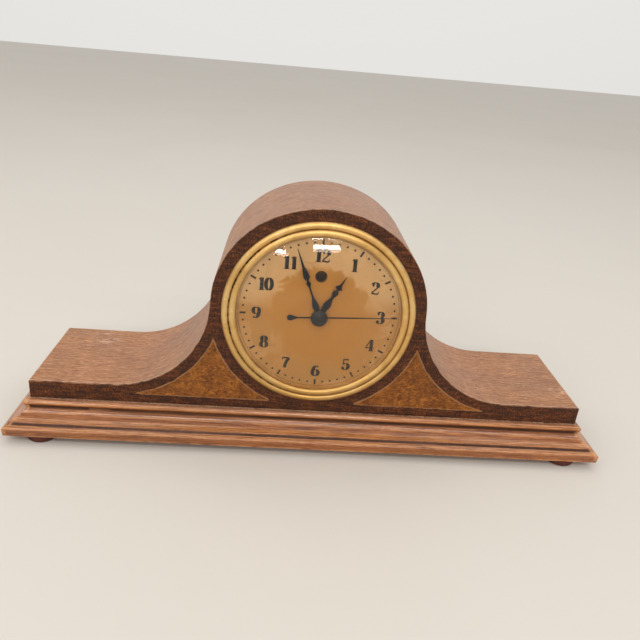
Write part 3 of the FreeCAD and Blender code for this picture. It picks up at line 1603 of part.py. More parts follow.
turned("cord_inlet", [
    (s["inlet_bore_radius"], back_board_front - s["inlet_flange_thickness"]),
    (s["inlet_flange_radius"], back_board_front - s["inlet_flange_thickness"]),
    (s["inlet_flange_radius"], back_board_front),
    (s["inlet_body_radius"], back_board_front),
    (s["inlet_body_radius"], s["case_depth"]),
    (s["inlet_flange_radius"], s["case_depth"]),
    (s["inlet_flange_radius"], s["case_depth"] + s["inlet_flange_thickness"]),
    (s["inlet_bore_radius"], s["case_depth"] + s["inlet_flange_thickness"]),
], inlet)

doc.recompute()

for item in doc.Objects:
    if "Invalid" in item.State or "Error" in item.State:
        raise RuntimeError(f"{item.Name} failed: {item.State}")
for label, item in pieces.items():
    if item.Shape.isNull() or not item.Shape.isValid():
        raise RuntimeError(f"{label} has no valid shape")

os.makedirs("parts", exist_ok=True)
for label, item in pieces.items():
    item.Shape.exportStep(f"parts/{label}.step")
whole = Part.makeCompound([item.Shape for item in pieces.values()]).BoundBox
print(f"{len(pieces)} pieces, {whole.XLength:.1f} x {whole.YLength:.1f} x {whole.ZLength:.1f} mm")
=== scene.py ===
# %% [markdown]
# # Dressing a tambour mantel clock
# The clock's solids were drawn and measured first, and they arrive here as a fixed frame: case, base,
# bezel, dial, hands and works, each in its true place. What a drawing can't hold is made in this notebook:
# the figure of the wood, the tarnish on the gilt, the print on the dial, the glass and the light.
# Two ways were open: model the clock again here, or finish the measured pieces. The second keeps every
# size right and leaves the whole lesson to surfaces.

# %% Load the measured model
import bpy
import bmesh
import json
import math
from mathutils import Matrix, Vector


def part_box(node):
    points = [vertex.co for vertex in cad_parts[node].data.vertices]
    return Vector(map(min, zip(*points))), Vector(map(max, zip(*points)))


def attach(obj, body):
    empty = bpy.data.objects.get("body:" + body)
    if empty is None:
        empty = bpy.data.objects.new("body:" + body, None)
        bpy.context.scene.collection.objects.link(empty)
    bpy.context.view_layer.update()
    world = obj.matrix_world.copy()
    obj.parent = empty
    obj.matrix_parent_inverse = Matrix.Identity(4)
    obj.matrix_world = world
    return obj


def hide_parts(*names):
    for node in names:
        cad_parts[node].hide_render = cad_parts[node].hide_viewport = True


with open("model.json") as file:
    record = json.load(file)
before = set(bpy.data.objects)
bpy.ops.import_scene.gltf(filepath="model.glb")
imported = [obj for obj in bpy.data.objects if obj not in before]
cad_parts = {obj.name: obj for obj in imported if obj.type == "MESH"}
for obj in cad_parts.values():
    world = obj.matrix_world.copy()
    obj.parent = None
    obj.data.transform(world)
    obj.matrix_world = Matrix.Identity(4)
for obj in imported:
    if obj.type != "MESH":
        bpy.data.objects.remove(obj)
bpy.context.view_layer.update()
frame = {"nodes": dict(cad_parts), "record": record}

MM = 0.001

# %% [markdown]
# ## Where the dial is
# Most details sit on the dial or turn about its middle, so its place is read from the model once and kept
# under plain names. The maker of this clock fixed the dial a little askew, and the print follows that
# tilt.

# %% Measure the dial and the glass
dial_low, dial_high = (Vector(corner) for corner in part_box("dial_plate"))
glass_low, glass_high = (Vector(corner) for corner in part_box("crystal"))
DIAL_MIDDLE = Vector(((dial_low.x + dial_high.x) / 2, dial_low.y, (dial_low.z + dial_high.z) / 2))
DIAL_RADIUS = (dial_high.x - dial_low.x) / 2
DIAL_TILT = math.radians(1.25)
print("dial middle at", [round(value / MM, 1) for value in DIAL_MIDDLE], "mm, radius",
      round(DIAL_RADIUS / MM, 1))

# %% [markdown]
# ## The camera
# The picture was taken by hand from the left and above, quite near, with a wide lens. Placing a camera by
# eye takes many tries; here its place, its three turns and its lens come from a fit to about fifty points
# whose true places are known. A lens in millimetres is the focal length in pixels times the sensor's width
# over the frame's.

# %% Place the camera
YAW, PITCH, ROLL = 0.0737, 0.418, -0.0897
FOCAL_PIXELS = 629.5
FRAME_PIXELS = 640
EYE = Vector((-25.34, -395.63, 250.59)) * MM

forward = Vector((math.sin(YAW) * math.cos(PITCH), math.cos(YAW) * math.cos(PITCH), -math.sin(PITCH)))
level_right = Vector((math.cos(YAW), -math.sin(YAW), 0))
level_down = forward.cross(level_right)
view_right = level_right * math.cos(ROLL) + level_down * math.sin(ROLL)
view_up = level_right * math.sin(ROLL) - level_down * math.cos(ROLL)

camera_data = bpy.data.cameras.new("camera")
camera_data.sensor_width = 36
camera_data.lens = camera_data.sensor_width * FOCAL_PIXELS / FRAME_PIXELS
camera_data.clip_start = 0.02
camera = bpy.data.objects.new("camera", camera_data)
bpy.context.scene.collection.objects.link(camera)
turn = Matrix((view_right, view_up, -forward)).transposed()
camera.matrix_world = Matrix.Translation(EYE) @ turn.to_4x4()
bpy.context.scene.camera = camera
print("lens", round(camera_data.lens, 1), "mm, eye", round(EYE.length, 3), "m from the origin")

# %% [markdown]
# ## Small helpers for shader nodes
# A shader is a graph of nodes. Written out in full, each node takes four or five lines, so a few helpers
# keep the graphs readable: they add a node, fill or link its sockets and hand on its result, which the
# next helper takes. Colours are given as they look on a screen and turned into the light values that the
# shader works with.

# %% Node helpers


def colour(code):
    """A screen colour such as #aabbcc as linear light values."""
    parts = [int(code[place:place + 2], 16) / 255 for place in (1, 3, 5)]
    return tuple(((part + 0.055) / 1.055) ** 2.4 if part > 0.04045 else part / 12.92 for part in parts) + (1,)


def is_wire(value):
    return isinstance(value, bpy.types.NodeSocket)


def add_node(tree, kind, inputs=None, **settings):
    """A node with its settings made and its sockets filled with values or linked to other sockets."""
    node = tree.nodes.new(kind)
    for name, value in settings.items():
        setattr(node, name, value)
    for name, value in (inputs or {}).items():
        if is_wire(value):
            tree.links.new(value, node.inputs[name])
        else:
            node.inputs[name].default_value = value
    return node


def follow(kind, inputs, output=0, **settings):
    """A node in the graph that its first linked input belongs to. Gives back one of its outputs."""
    tree = next(value for value in inputs.values() if is_wire(value)).id_data
    return add_node(tree, kind, inputs, **settings).outputs[output]


def connect(node, **wires):
    """Links results to a node's named inputs, written with underscores for spaces."""
    for label, wire in wires.items():
        wire.id_data.links.new(wire, node.inputs[label.replace("_", " ")])


# %% Arithmetic on values


def calc(operation, first, second=0.0, third=0.0, clamp=False):
    return follow("ShaderNodeMath", {0: first, 1: second, 2: third}, operation=operation, use_clamp=clamp)


def times(first, second):
    return calc("MULTIPLY", first, second)


def plus(first, second):
    return calc("ADD", first, second)


def inverse(value):
    return calc("SUBTRACT", 1.0, value)


def wave(value, turn):
    """A row of humps: a sine without its sign."""
    return calc("ABSOLUTE", calc("SINE", times(value, turn)))


def spread(value, low, high, new_low=0.0, new_high=1.0):
    """A value moved from one range to another, with smooth ends."""
    return follow("ShaderNodeMapRange", {0: value, 1: low, 2: high, 3: new_low, 4: new_high},
                  interpolation_type="SMOOTHSTEP")


# %% Arithmetic on vectors


def vector_calc(operation, first, second, output=0):
    return follow("ShaderNodeVectorMath", {0: first, 1: second}, output, operation=operation)


def scaled(vector, factors):
    return vector_calc("MULTIPLY", vector, factors)


def combine(first, second, third):
    return follow("ShaderNodeCombineXYZ", {0: first, 1: second, 2: third})


def axes(vector):
    """The three parts of a vector."""
    return add_node(vector.id_data, "ShaderNodeSeparateXYZ", {0: vector}).outputs


def from_middle(own, middle):
    """Coordinates measured from a given middle."""
    return follow("ShaderNodeMapping", {"Vector": own, "Location": -Vector(middle)})


# %% Patterns, colours and relief


def noise(vector, scale, detail=2.0, roughness=0.5, distortion=0.0, output=0):
    return follow("ShaderNodeTexNoise",
                  {"Vector": vector, "Scale": scale, "Detail": detail, "Roughness": roughness,
                   "Distortion": distortion}, output)


def mixed(factor, first, second, mode="MIX"):
    """Two colours mixed by a factor. The colour sockets of a mix node are its seventh and eighth."""
    return follow("ShaderNodeMix", {0: factor, 6: first, 7: second}, 2, data_type="RGBA", blend_type=mode)


def tint(base, code, mask, share=None):
    """A colour laid over another where a mask says, at most to a given share."""
    return mixed(mask if share is None else times(mask, share), base, colour(code))


def shaded(base, shade):
    """A colour made lighter or darker by a value around 1."""
    return mixed(1.0, base, follow("ShaderNodeCombineColor", {0: shade, 1: shade, 2: shade}), "MULTIPLY")


def ramp(value, stops):
    """A colour looked up on a scale with stops of (place, colour code)."""
    node = add_node(value.id_data, "ShaderNodeValToRGB", {0: value})
    elements = node.color_ramp.elements
    while len(elements) < len(stops):
        elements.new(0.5)
    for element, (place, code) in zip(elements, stops):
        element.position = place
        element.color = colour(code)
    return node.outputs[0]


def bump(height, distance, strength):
    return follow("ShaderNodeBump", {"Height": height, "Distance": distance, "Strength": strength})


print("a mid brown on screen is", [round(value, 3) for value in colour("#8a5a3c")[:3]], "as light")

# %% [markdown]
# ## Studio light
# The room gives an even, soft light, so a colour renders about as it is written. The world is a little
# darker on the camera's side than behind the clock, as the room was: a dome of glass mirrors the front of
# the room, and an even world would lay a grey veil over the dial. A long strip overhead draws the satin
# lines along the moulding and over the beads.
# Two ceiling lamps behind the camera show as white bars in the curved glass. Their directions come from
# mirroring the line of sight in the dome at the two places where the bars show. They are small, and they
# are aimed over the clock rather than at it, so that they are bright in the glass but light the floor
# little.

# %% Light the room
scene = bpy.context.scene
scene.view_settings.view_transform = "Standard"

FRONT_LIGHT, BACK_LIGHT = 0.50, 0.80
ROOM_COLOUR = (1.0, 0.985, 0.955, 1)

world = bpy.data.worlds.new("studio")
scene.world = world
world.use_nodes = True
sky = world.node_tree
sky.nodes.clear()
direction = axes(add_node(sky, "ShaderNodeTexCoord").outputs["Generated"])
backwards_and_up = plus(direction["Y"], direction["Z"])
strength = follow("ShaderNodeMapRange",
                  {"Value": backwards_and_up, "From Min": -0.9, "From Max": 1.0, "To Min": FRONT_LIGHT,
                   "To Max": BACK_LIGHT})
glow = follow("ShaderNodeBackground", {"Color": ROOM_COLOUR, "Strength": strength})
add_node(sky, "ShaderNodeOutputWorld", {0: glow})
print("room light from", FRONT_LIGHT, "to", BACK_LIGHT)

# %% Hang the lamps
CLOCK_MIDDLE = Vector((0, 0, 0.08))
OVER_CLOCK = Vector((0, 0, 1.6))
LAMP_COLOUR = (1.0, 0.965, 0.92)
LAMP_DISTANCE = 2.0


def add_lamp(name, place, towards, width, height, radiance):
    """A rectangular lamp whose power follows from how bright its face should be."""
    data = bpy.data.lights.new(name, "AREA")
    data.shape = "RECTANGLE"
    data.size, data.size_y = width, height
    data.energy = radiance * math.pi * width * height
    data.color = LAMP_COLOUR
    lamp = bpy.data.objects.new(name, data)
    scene.collection.objects.link(lamp)
    aim = (place - towards).to_track_quat("Z", "Y").to_matrix()
    lamp.matrix_world = Matrix.Translation(place) @ aim.to_4x4()
    return data.energy


bar_middle = Vector((0.7, -44.2, 140.7)) * MM
bar_left = Vector((-26.8, -42.9, 136.1)) * MM
powers = [
    add_lamp("ceiling_strip", Vector((-0.1, -1.35, 1.55)), CLOCK_MIDDLE, 3.4, 0.10, 12),
    add_lamp("soft_box", Vector((-1.5, -0.6, 1.2)), CLOCK_MIDDLE, 0.9, 0.9, 1.0),
    add_lamp("overhead", Vector((0.1, 0.25, 1.5)), CLOCK_MIDDLE, 1.6, 1.0, 0.9),
    add_lamp("ceiling_lamp_middle", bar_middle + Vector((0.08, -0.928, 0.364)) * LAMP_DISTANCE, OVER_CLOCK,
             0.56, 0.12, 46),
    add_lamp("ceiling_lamp_left", bar_left + Vector((-0.385, -0.88, 0.278)) * LAMP_DISTANCE, OVER_CLOCK,
             0.32, 0.12, 40),
]
print("lamps, watts:", [round(power, 1) for power in powers])

# %% [markdown]
# ## Effects that several finishes share
# Wood grain, wear on edges, dirt and painted shade in corners, scuffs, turning marks and patina turn up in
# many finishes at different strengths. Each is built once as a node group with named inputs, and gives back
# masks and heights only, so every finish keeps its own shader.

# %% Group helper


def new_group(name, inputs, outputs):
    """An empty shader group. Inputs are (name, kind, value), outputs are names of plain values."""
    group = bpy.data.node_groups.new(name, "ShaderNodeTree")
    for label, kind, value in inputs:
        socket = group.interface.new_socket(name=label, in_out="INPUT", socket_type="NodeSocket" + kind)
        if value is not None:
            socket.default_value = value
    for label in outputs:
        group.interface.new_socket(name=label, in_out="OUTPUT", socket_type="NodeSocketFloat")
    return group, group.nodes.new("NodeGroupInput").outputs, group.nodes.new("NodeGroupOutput")


def use_group(name, **inputs):
    """A shared effect placed in a material. Input names are written with underscores for spaces."""
    inputs = {label.replace("_", " "): value for label, value in inputs.items()}
    tree = inputs["Vector"].id_data
    return add_node(tree, "ShaderNodeGroup", inputs, node_tree=bpy.data.node_groups[name]).outputs


# %% [markdown]
# ### Wood grain
# Wood is a bundle of fibres. Seen along them, marks are long and narrow, so the same noise that looks like
# clouds turns into grain when space is squeezed along one axis. Broad bands come from the yearly rings,
# and mahogany and walnut also show pores: short dark scratches along the grain.

# %% Wood grain group
group, given, result = new_group(
    "wood_grain",
    [("Vector", "Vector", None), ("Along", "Float", 30.0), ("Across", "Float", 800.0),
     ("Bands", "Float", 4.0), ("Band Share", "Float", 0.1), ("Fleck Share", "Float", 0.3),
     ("Seed", "Float", 0.0)],
    ["Figure", "Pores", "Height"],
)
squeezed = scaled(given["Vector"], combine(given["Along"], given["Across"], given["Across"]))
squeezed = vector_calc("ADD", squeezed, combine(given["Seed"], given["Seed"], given["Seed"]))
fibres = noise(squeezed, 1.0, 6.0, 0.66, 0.25)
flecks = noise(scaled(squeezed, (3.5, 0.9, 0.9)), 1.0, 3.0, 0.55, 0.6)
ring_field = noise(scaled(squeezed, (0.12, 0.05, 0.05)), 1.0, 2.0, 0.5, 0.6)
ring_wave = calc("SINE", times(times(ring_field, given["Bands"]), math.tau))
ring_value = calc("MULTIPLY_ADD", ring_wave, 0.5, 0.5)
rest = calc("SUBTRACT", inverse(given["Band Share"]), given["Fleck Share"])
figure = plus(times(fibres, rest), times(flecks, given["Fleck Share"]))
figure = plus(figure, times(ring_value, given["Band Share"]))
pore_field = noise(scaled(squeezed, (2.6, 1.7, 1.7)), 1.0, 1.0, 0.4)
pores = spread(pore_field, 0.60, 0.72)
connect(result, Figure=figure, Pores=pores, Height=calc("SUBTRACT", times(fibres, 0.6), pores))
print("wood_grain:", len(group.nodes), "nodes")

# %% [markdown]
# ### Worn edges, and corners darkened by dirt and painted shade
# Hands and dusters rub the lacquer off outer edges, and dirt gathers in inner corners; on the wood the
# darkened corners also stand for painted shade. Both can be found from the shape itself: near an outer edge,
# rays sent a short way inwards meet the face on its other side, and in a corner, rays sent outwards meet the
# neighbouring face. Elsewhere they meet nothing. Noise breaks both masks up, because wear is never even.

# %% Edge wear group
group, given, result = new_group(
    "edge_wear",
    [("Vector", "Vector", None), ("Reach", "Float", 0.0012), ("Corner Reach", "Float", 0.004),
     ("Patch Scale", "Float", 160.0)],
    ["Wear", "Dirt"],
)
RAYS = 6
inside = add_node(group, "ShaderNodeAmbientOcclusion", {"Distance": given["Reach"]}, inside=True,
                  only_local=True, samples=RAYS).outputs["AO"]
outside = add_node(group, "ShaderNodeAmbientOcclusion", {"Distance": given["Corner Reach"]},
                   samples=RAYS).outputs["AO"]
patches = noise(given["Vector"], given["Patch Scale"], 5.0, 0.65)
edge = spread(inverse(inside), 0.10, 0.38)
corner = spread(inverse(outside), 0.18, 0.56)
connect(result, Wear=times(edge, spread(patches, 0.34, 0.58)),
        Dirt=times(corner, spread(patches, 0.25, 0.65, 0.45, 1.0)))
print("edge_wear:", len(group.nodes), "nodes")

# %% [markdown]
# ### Scuffs
# Decades of handling leave fine pale scratches and specks, more in some places than in others. Two noises
# stretched in different directions give the scratches, a third gives the specks, and a large soft noise
# decides where they gather.

# %% Scuffs group
group, given, result = new_group(
    "scuffs", [("Vector", "Vector", None), ("Gather Scale", "Float", 14.0), ("Seed", "Float", 0.0)],
    ["Scratches", "Specks"],
)
moved = vector_calc("ADD", given["Vector"], combine(given["Seed"], given["Seed"], given["Seed"]))
turned_once = follow("ShaderNodeMapping",
                     {"Vector": moved, "Rotation": (0, 0, 0.5), "Scale": (60, 1500, 60)})
turned_twice = follow("ShaderNodeMapping",
                      {"Vector": moved, "Rotation": (0, 0.3, -0.9), "Scale": (90, 2100, 90)})
first_lines = spread(noise(turned_once, 1.0, 1.0), 0.735, 0.775)
second_lines = spread(noise(turned_twice, 1.0, 1.0), 0.745, 0.785)
gathered = spread(noise(moved, given["Gather Scale"], 3.0), 0.45, 0.62)
lines = times(calc("MAXIMUM", first_lines, second_lines), gathered)
specks = spread(noise(moved, 1300.0, 1.0), 0.73, 0.79)
connect(result, Scratches=lines, Specks=specks)
print("scuffs:", len(group.nodes), "nodes")

# %% [markdown]
# ### Turning marks and patina
# A piece turned on a lathe keeps fine rings about its middle, so the noise is read by distance from that
# middle. Patina is the slow cloudy change of metal and paint: two soft noises, a broad one and a fine one.

# %% Turning marks and patina groups
group, given, result = new_group(
    "turned_marks", [("Vector", "Vector", None), ("Fineness", "Float", 2600.0)], ["Marks", "Radius"],
)
parts = axes(given["Vector"])
radius = calc("SQRT", plus(times(parts[0], parts[0]), times(parts[2], parts[2])))
marks = noise(combine(radius, times(parts[1], 0.6), 0.0), given["Fineness"], 4.0, 0.7)
connect(result, Marks=marks, Radius=radius)

group, given, result = new_group(
    "patina", [("Vector", "Vector", None), ("Cloud Scale", "Float", 35.0), ("Grain Scale", "Float", 700.0)],
    ["Clouds", "Grain"],
)
connect(result, Clouds=noise(given["Vector"], given["Cloud Scale"], 5.0, 0.6, 0.8),
        Grain=noise(given["Vector"], given["Grain Scale"], 3.0, 0.6))
print("shared groups:", [item.name for item in bpy.data.node_groups])

# %% [markdown]
# ## Starting a finish
# Every finish starts the same way: an empty material, the piece's own coordinates in metres, and one
# shader. Numbers that are the same all over are set on the shader's sockets; only what varies comes in
# through links.

# %% Material helper
finishes = {}


def new_finish(name, **constants):
    """An empty material under its name. Returns the piece's own coordinates and the shader."""
    material = bpy.data.materials.new(name)
    finishes[name] = material
    material.use_nodes = True
    tree = material.node_tree
    tree.nodes.clear()
    own = add_node(tree, "ShaderNodeTexCoord").outputs["Object"]
    constants = {label.replace("_", " "): value for label, value in constants.items()}
    shader = add_node(tree, "ShaderNodeBsdfPrincipled", constants)
    add_node(tree, "ShaderNodeOutputMaterial", {"Surface": shader.outputs[0]})
    return own, shader


# %% [markdown]
# ## The case's wood
# One recipe serves all the wood, with different numbers: dense dark mahogany on the front, paler veneer
# over arch and wings, straight-grained solid mouldings, plain boards inside. Grain runs along a named axis
# of the piece. The bent skin needs a trick: its fibres follow the curve, which runs in two directions at
# once, so both of those are squeezed and only the third, from front to back, is left fine.

# %% Grain along an axis


def grain_vector(own, direction, along, across):
    """The piece's coordinates with the grain's axis first."""
    parts = axes(own)
    if direction == "skin":
        return combine(parts[0], parts[1], times(parts[2], along / across))
    order = {"x": (0, 1, 2), "y": (1, 0, 2), "z": (2, 0, 1)}[direction]
    return combine(*(parts[axis] for axis in order))


# %% [markdown]
# Some marks have a place of their own. On a moulding, the hollows under the beads and in the grooves are
# painted nearly black as painted shade. The crests are painted pale as painted highlights, with some rubbing.
# Both run at fixed heights along the whole length. Where something was set down on the wings again and again,
# a patch of pale scuffs remains.

# %% Marks at a height or about a spot


def along_height(height, lines):
    """A mask of lines that run at given heights, each as (height, half width)."""
    mask = 0.0
    for middle, reach in lines:
        away = calc("ABSOLUTE", calc("SUBTRACT", height, middle))
        mask = calc("MAXIMUM", mask, spread(away, reach * 0.3, reach, 1.0, 0.0))
    return mask


def scuffed_spots(own, pale, spots):
    """Pale streaks about given places, each as (place, size), added to a mask."""
    for place, size in spots:
        away = vector_calc("DISTANCE", own, place, "Value")
        streaks = noise(scaled(own, (170.0, 900.0, 170.0)), 1.0, 3.0, 0.6, 0.8)
        spot = times(spread(away, size * 0.3, size, 1.0, 0.0), spread(streaks, 0.56, 0.64))
        pale = calc("MAXIMUM", pale, spot)
    return pale


# %% Wood recipe
CORNER_DIRT_AND_SHADE_COLOUR, QUIRK_SHADE_COLOUR, DUST_COLOUR = "#1c0f09", "#281306", "#cbb39c"


def make_wood(name, direction, along, across, stops, pore_code, worn_and_highlight_code, gloss, seed, bands=4.0,
              band_share=0.02, fleck_share=0.3, ripple=0.0, wear=0.8, dirt_and_shade=0.5, wear_reach=1.0,
              corner_reach=4.0, scuffed=0.35, coat=0.3, coat_gloss=0.22, shine=0.4, pore_share=0.6,
              dusty=0.0, scuff_spots=(), shaded_quirks=(), crest_highlights=()):
    """One kind of wood. Shaded quirks are a moulding's hollows darkened as painted shade; crest highlights
    are its ridges paled as painted highlights.
    """
    own, shader = new_finish(name, Coat_Weight=coat, Coat_Roughness=coat_gloss, Specular_IOR_Level=shine)
    vector = grain_vector(own, direction, along, across)
    grain = use_group("wood_grain", Vector=vector, Along=along, Across=across, Bands=bands,
                      Band_Share=band_share, Fleck_Share=fleck_share, Seed=seed)
    figure = spread(grain["Figure"], 0.34, 0.66)
    if ripple:
        cross = spread(noise(scaled(own, (110.0, 110.0, 800.0)), 1.0, 4.0, 0.6, 0.5), 0.35, 0.65)
        figure = plus(times(figure, 1 - ripple), times(cross, ripple))
    clouds = use_group("patina", Vector=own, Cloud_Scale=16.0, Grain_Scale=900.0)
    wood = shaded(ramp(figure, stops), spread(clouds["Clouds"], 0.3, 0.7, 0.84, 1.12))
    wood = tint(wood, pore_code, grain["Pores"], pore_share)
    rubbed = use_group("edge_wear", Vector=own, Reach=wear_reach * MM, Corner_Reach=corner_reach * MM)
    # Inner corners darkened: dirt, and painted shade in the hollows.
    wood = tint(wood, CORNER_DIRT_AND_SHADE_COLOUR, rubbed["Dirt"], dirt_and_shade)
    if shaded_quirks:
        height = axes(own)[2]
        # Painted shade: the quirks under the beads and in the grooves are darkened nearly black. Painted
        # highlights: the crests are paled, with some rubbing.
        shaded_quirk = times(along_height(height, shaded_quirks), spread(clouds["Clouds"], 0.3, 0.6, 0.72, 0.93))
        wood = tint(wood, QUIRK_SHADE_COLOUR, shaded_quirk)
        patchy = spread(grain["Figure"], 0.38, 0.58, 0.10, 0.52)
        wood = tint(wood, worn_and_highlight_code, along_height(height, crest_highlights), patchy)
    if dusty:
        facing = add_node(own.id_data, "ShaderNodeNewGeometry").outputs["Normal"]
        settled = times(rubbed["Dirt"], spread(axes(facing)[2], 0.75, 0.97))
        wood = tint(wood, DUST_COLOUR, settled, spread(clouds["Grain"], 0.35, 0.55, 0.3 * dusty, dusty))
    # Rubbed edges paled: wear, and on the mouldings also painted highlights along the beads and fillets.
    wood = tint(wood, worn_and_highlight_code, rubbed["Wear"], wear)
    marks = use_group("scuffs", Vector=own, Seed=seed)
    pale = times(calc("MAXIMUM", marks["Scratches"], marks["Specks"]), scuffed)
    pale = scuffed_spots(own, pale, scuff_spots)
    wood = tint(wood, worn_and_highlight_code, pale)
    dull = plus(spread(clouds["Clouds"], 0.2, 0.8, gloss - 0.06, gloss + 0.10), times(grain["Pores"], 0.2))
    dull = calc("ADD", dull, times(pale, 0.3), clamp=True)
    if shaded_quirks:
        dull = calc("ADD", dull, times(shaded_quirk, 0.45), clamp=True)
        connect(shader, Coat_Weight=spread(shaded_quirk, 0.0, 0.6, coat, 0.0))
    connect(shader, Base_Color=wood, Roughness=dull, Normal=bump(grain["Height"], 0.00012, 0.45))


# %% Front veneer, top skin, mouldings and boards
make_wood("front_veneer", "z", 420.0, 1500.0,
          [(0.0, "#140803"), (0.3, "#2b1406"), (0.5, "#45210a"), (0.75, "#663413"), (1.0, "#894b21")],
          "#160904", "#c08a64", 0.5, 3.1, fleck_share=0.55, ripple=0.30, wear=0.85, scuffed=0.08,
          wear_reach=0.6, pore_share=0.75, coat=0.06, shine=0.25)
SCUFFS = [(Vector((-149, 24, 38)) * MM, 15 * MM), (Vector((174, -19, 38)) * MM, 10 * MM)]
make_wood("top_skin", "skin", 80.0, 2500.0,
          [(0.0, "#774526"), (0.35, "#95603c"), (0.65, "#ad774e"), (1.0, "#c6966c")],
          "#5d3520", "#e0c2a6", 0.42, 7.7, fleck_share=0.42, wear=0.8, scuffed=0.6,
          pore_share=0.75, coat=0.2, scuff_spots=SCUFFS)
MOULDING_STOPS = [(0.0, "#6b3411"), (0.35, "#824618"), (0.65, "#975725"), (1.0, "#ac6a34")]
# Heights of the moulding's painted shade lines and painted highlight lines, each as (height, half width).
SHADED_QUIRKS = [(12.9 * MM, 1.1 * MM), (21.3 * MM, 1.9 * MM)]
CREST_HIGHLIGHTS = [(11.3 * MM, 0.9 * MM), (14.8 * MM, 1.0 * MM), (17.6 * MM, 0.9 * MM), (24.6 * MM, 1.4 * MM)]
# The mouldings' wide wear reach and pale worn colour also serve as painted highlights on the beads and
# fillets.
for name, direction, seed in (("moulding_front", "x", 11.3), ("moulding_side", "y", 14.9)):
    make_wood(name, direction, 45.0, 1500.0, MOULDING_STOPS, "#4e291b", "#d99b66", 0.20, seed,
              fleck_share=0.2, wear=0.62, dirt_and_shade=0.95, wear_reach=2.2, corner_reach=5.0, scuffed=0.4,
              coat=0.6, coat_gloss=0.13, pore_share=0.35, dusty=1.0, shaded_quirks=SHADED_QUIRKS, crest_highlights=CREST_HIGHLIGHTS)
make_wood("wing_block", "y", 60.0, 1000.0,
          [(0.0, "#5a3626"), (0.5, "#7d513a"), (1.0, "#9c7052")], "#3a2318", "#c49a78", 0.40, 21.5,
          band_share=0.15)
make_wood("plain_board", "x", 30.0, 900.0,
          [(0.0, "#805a3c"), (0.5, "#967052"), (1.0, "#a98262")], "#5e422e", "#cdae88", 0.62, 27.2,
          bands=6.0, band_share=0.08, coat=0.0, wear=0.4)
make_wood("back_board", "x", 32.0, 1100.0,
          [(0.0, "#4a2d1e"), (0.5, "#633f2b"), (1.0, "#7d543c")], "#2e1a11", "#a98465", 0.50, 33.8,
          bands=5.0, band_share=0.07, coat=0.12, wear=0.6)
print("woods:", sorted(finishes))

# %% [markdown]
# ## Burl inlays
# Burl grows around countless buds, so it has no direction: flame-like swirls, dark eyes and a shimmer. A
# noise whose space is itself pushed about by noise gives the swirls, cells with dark middles give the
# eyes, which keep to a few clusters, and short dark dashes lie over both.

# %% Burl veneer
own, shader = new_finish("burl", Coat_Weight=0.08, Coat_Roughness=0.2, Specular_IOR_Level=0.25)
push = vector_calc("SUBTRACT", noise(own, 90.0, 3.0, output="Color"), (0.5, 0.5, 0.5))
pushed = vector_calc("ADD", scaled(push, (0.010, 0.010, 0.010)), own)
swirls = noise(pushed, 240.0, 5.0, 0.6, 1.0)
flecks = noise(scaled(pushed, (600.0, 600.0, 1700.0)), 1.0, 3.0, 0.6, 0.8)
dashes = spread(noise(scaled(pushed, (380.0, 380.0, 1500.0)), 1.0, 2.0, 0.5, 0.5), 0.57, 0.68)
clusters = spread(noise(own, 48.0, 2.0), 0.50, 0.66)
cells = follow("ShaderNodeTexVoronoi", {"Vector": pushed, "Scale": 330.0})
eyes = times(spread(cells, 0.08, 0.34, 1.0, 0.0), clusters)
value = spread(plus(times(swirls, 0.5), times(flecks, 0.5)), 0.30, 0.70)
burl = ramp(value, [(0.0, "#4f2407"), (0.35, "#734011"), (0.65, "#8d5319"), (1.0, "#b0702a")])
burl = tint(burl, "#55290c", clusters, 0.48)
burl = tint(burl, "#4b240b", dashes, 0.75)
burl = tint(burl, "#2b1207", eyes, 0.9)
gloss = spread(swirls, 0.2, 0.8, 0.36, 0.52)
connect(shader, Base_Color=burl, Roughness=gloss, Normal=bump(flecks, 0.00008, 0.35))
print("burl:", len(own.id_data.nodes), "nodes")

# %% [markdown]
# ## Gilt bezel
# The bezel is brass under gold lacquer. Its tone clouds, and it is painted darker towards the bottom as a
# painted reflection of a darker surface below. The groove between its two beads holds dark polish. On the
# left the lacquer has failed most: dots of tarnish show there, and the groove is broken by black specks. The
# groove is found by its distance from the middle of the dial, so the coordinates are first measured from that
# middle.

# %% Gilt
own, shader = new_finish("gilt", Metallic=1.0)
centred = from_middle(own, DIAL_MIDDLE)
rings = use_group("turned_marks", Vector=centred, Fineness=1500.0)
tarnish = use_group("patina", Vector=own, Cloud_Scale=55.0, Grain_Scale=1500.0)
GROOVE_RADIUS = 55.7 * MM
from_groove = calc("ABSOLUTE", calc("SUBTRACT", rings["Radius"], GROOVE_RADIUS))
groove = spread(from_groove, 0.15 * MM, 0.75 * MM, 1.0, 0.0)
leftwards = spread(axes(centred)[0], -55 * MM, 20 * MM, 1.0, 0.35)
lower_dark_reflection = spread(axes(centred)[2], -58 * MM, -15 * MM, 0.5, 0.0)
dots = times(spread(tarnish["Grain"], 0.56, 0.68), leftwards)
grime = times(groove, spread(tarnish["Grain"], 0.35, 0.6, 0.55, 1.0))
breaks = times(groove, spread(noise(own, 420.0, 2.0), 0.50, 0.58))
breaks = times(breaks, spread(leftwards, 0.5, 0.9))
gold = ramp(tarnish["Clouds"], [(0.25, "#cd9e5c"), (0.5, "#e6bb76"), (0.75, "#f5d79c")])
gold = tint(gold, "#b89a68", leftwards, 0.22)
# Painted reflection: darker towards the bottom, where a darker surface below would be mirrored.
gold = tint(gold, "#a37a3e", lower_dark_reflection)
gold = tint(gold, "#4a3213", grime, 0.62)
gold = tint(gold, "#6b5026", dots, 0.28)
gold = tint(gold, "#241707", breaks, 0.9)
gloss = plus(spread(tarnish["Clouds"], 0.2, 0.8, 0.38, 0.50), times(grime, 0.3))
relief = plus(times(rings["Marks"], 0.5), tarnish["Grain"])
connect(shader, Base_Color=gold, Roughness=gloss, Normal=bump(relief, 0.00004, 0.4))
print("gilt:", len(own.id_data.nodes), "nodes")
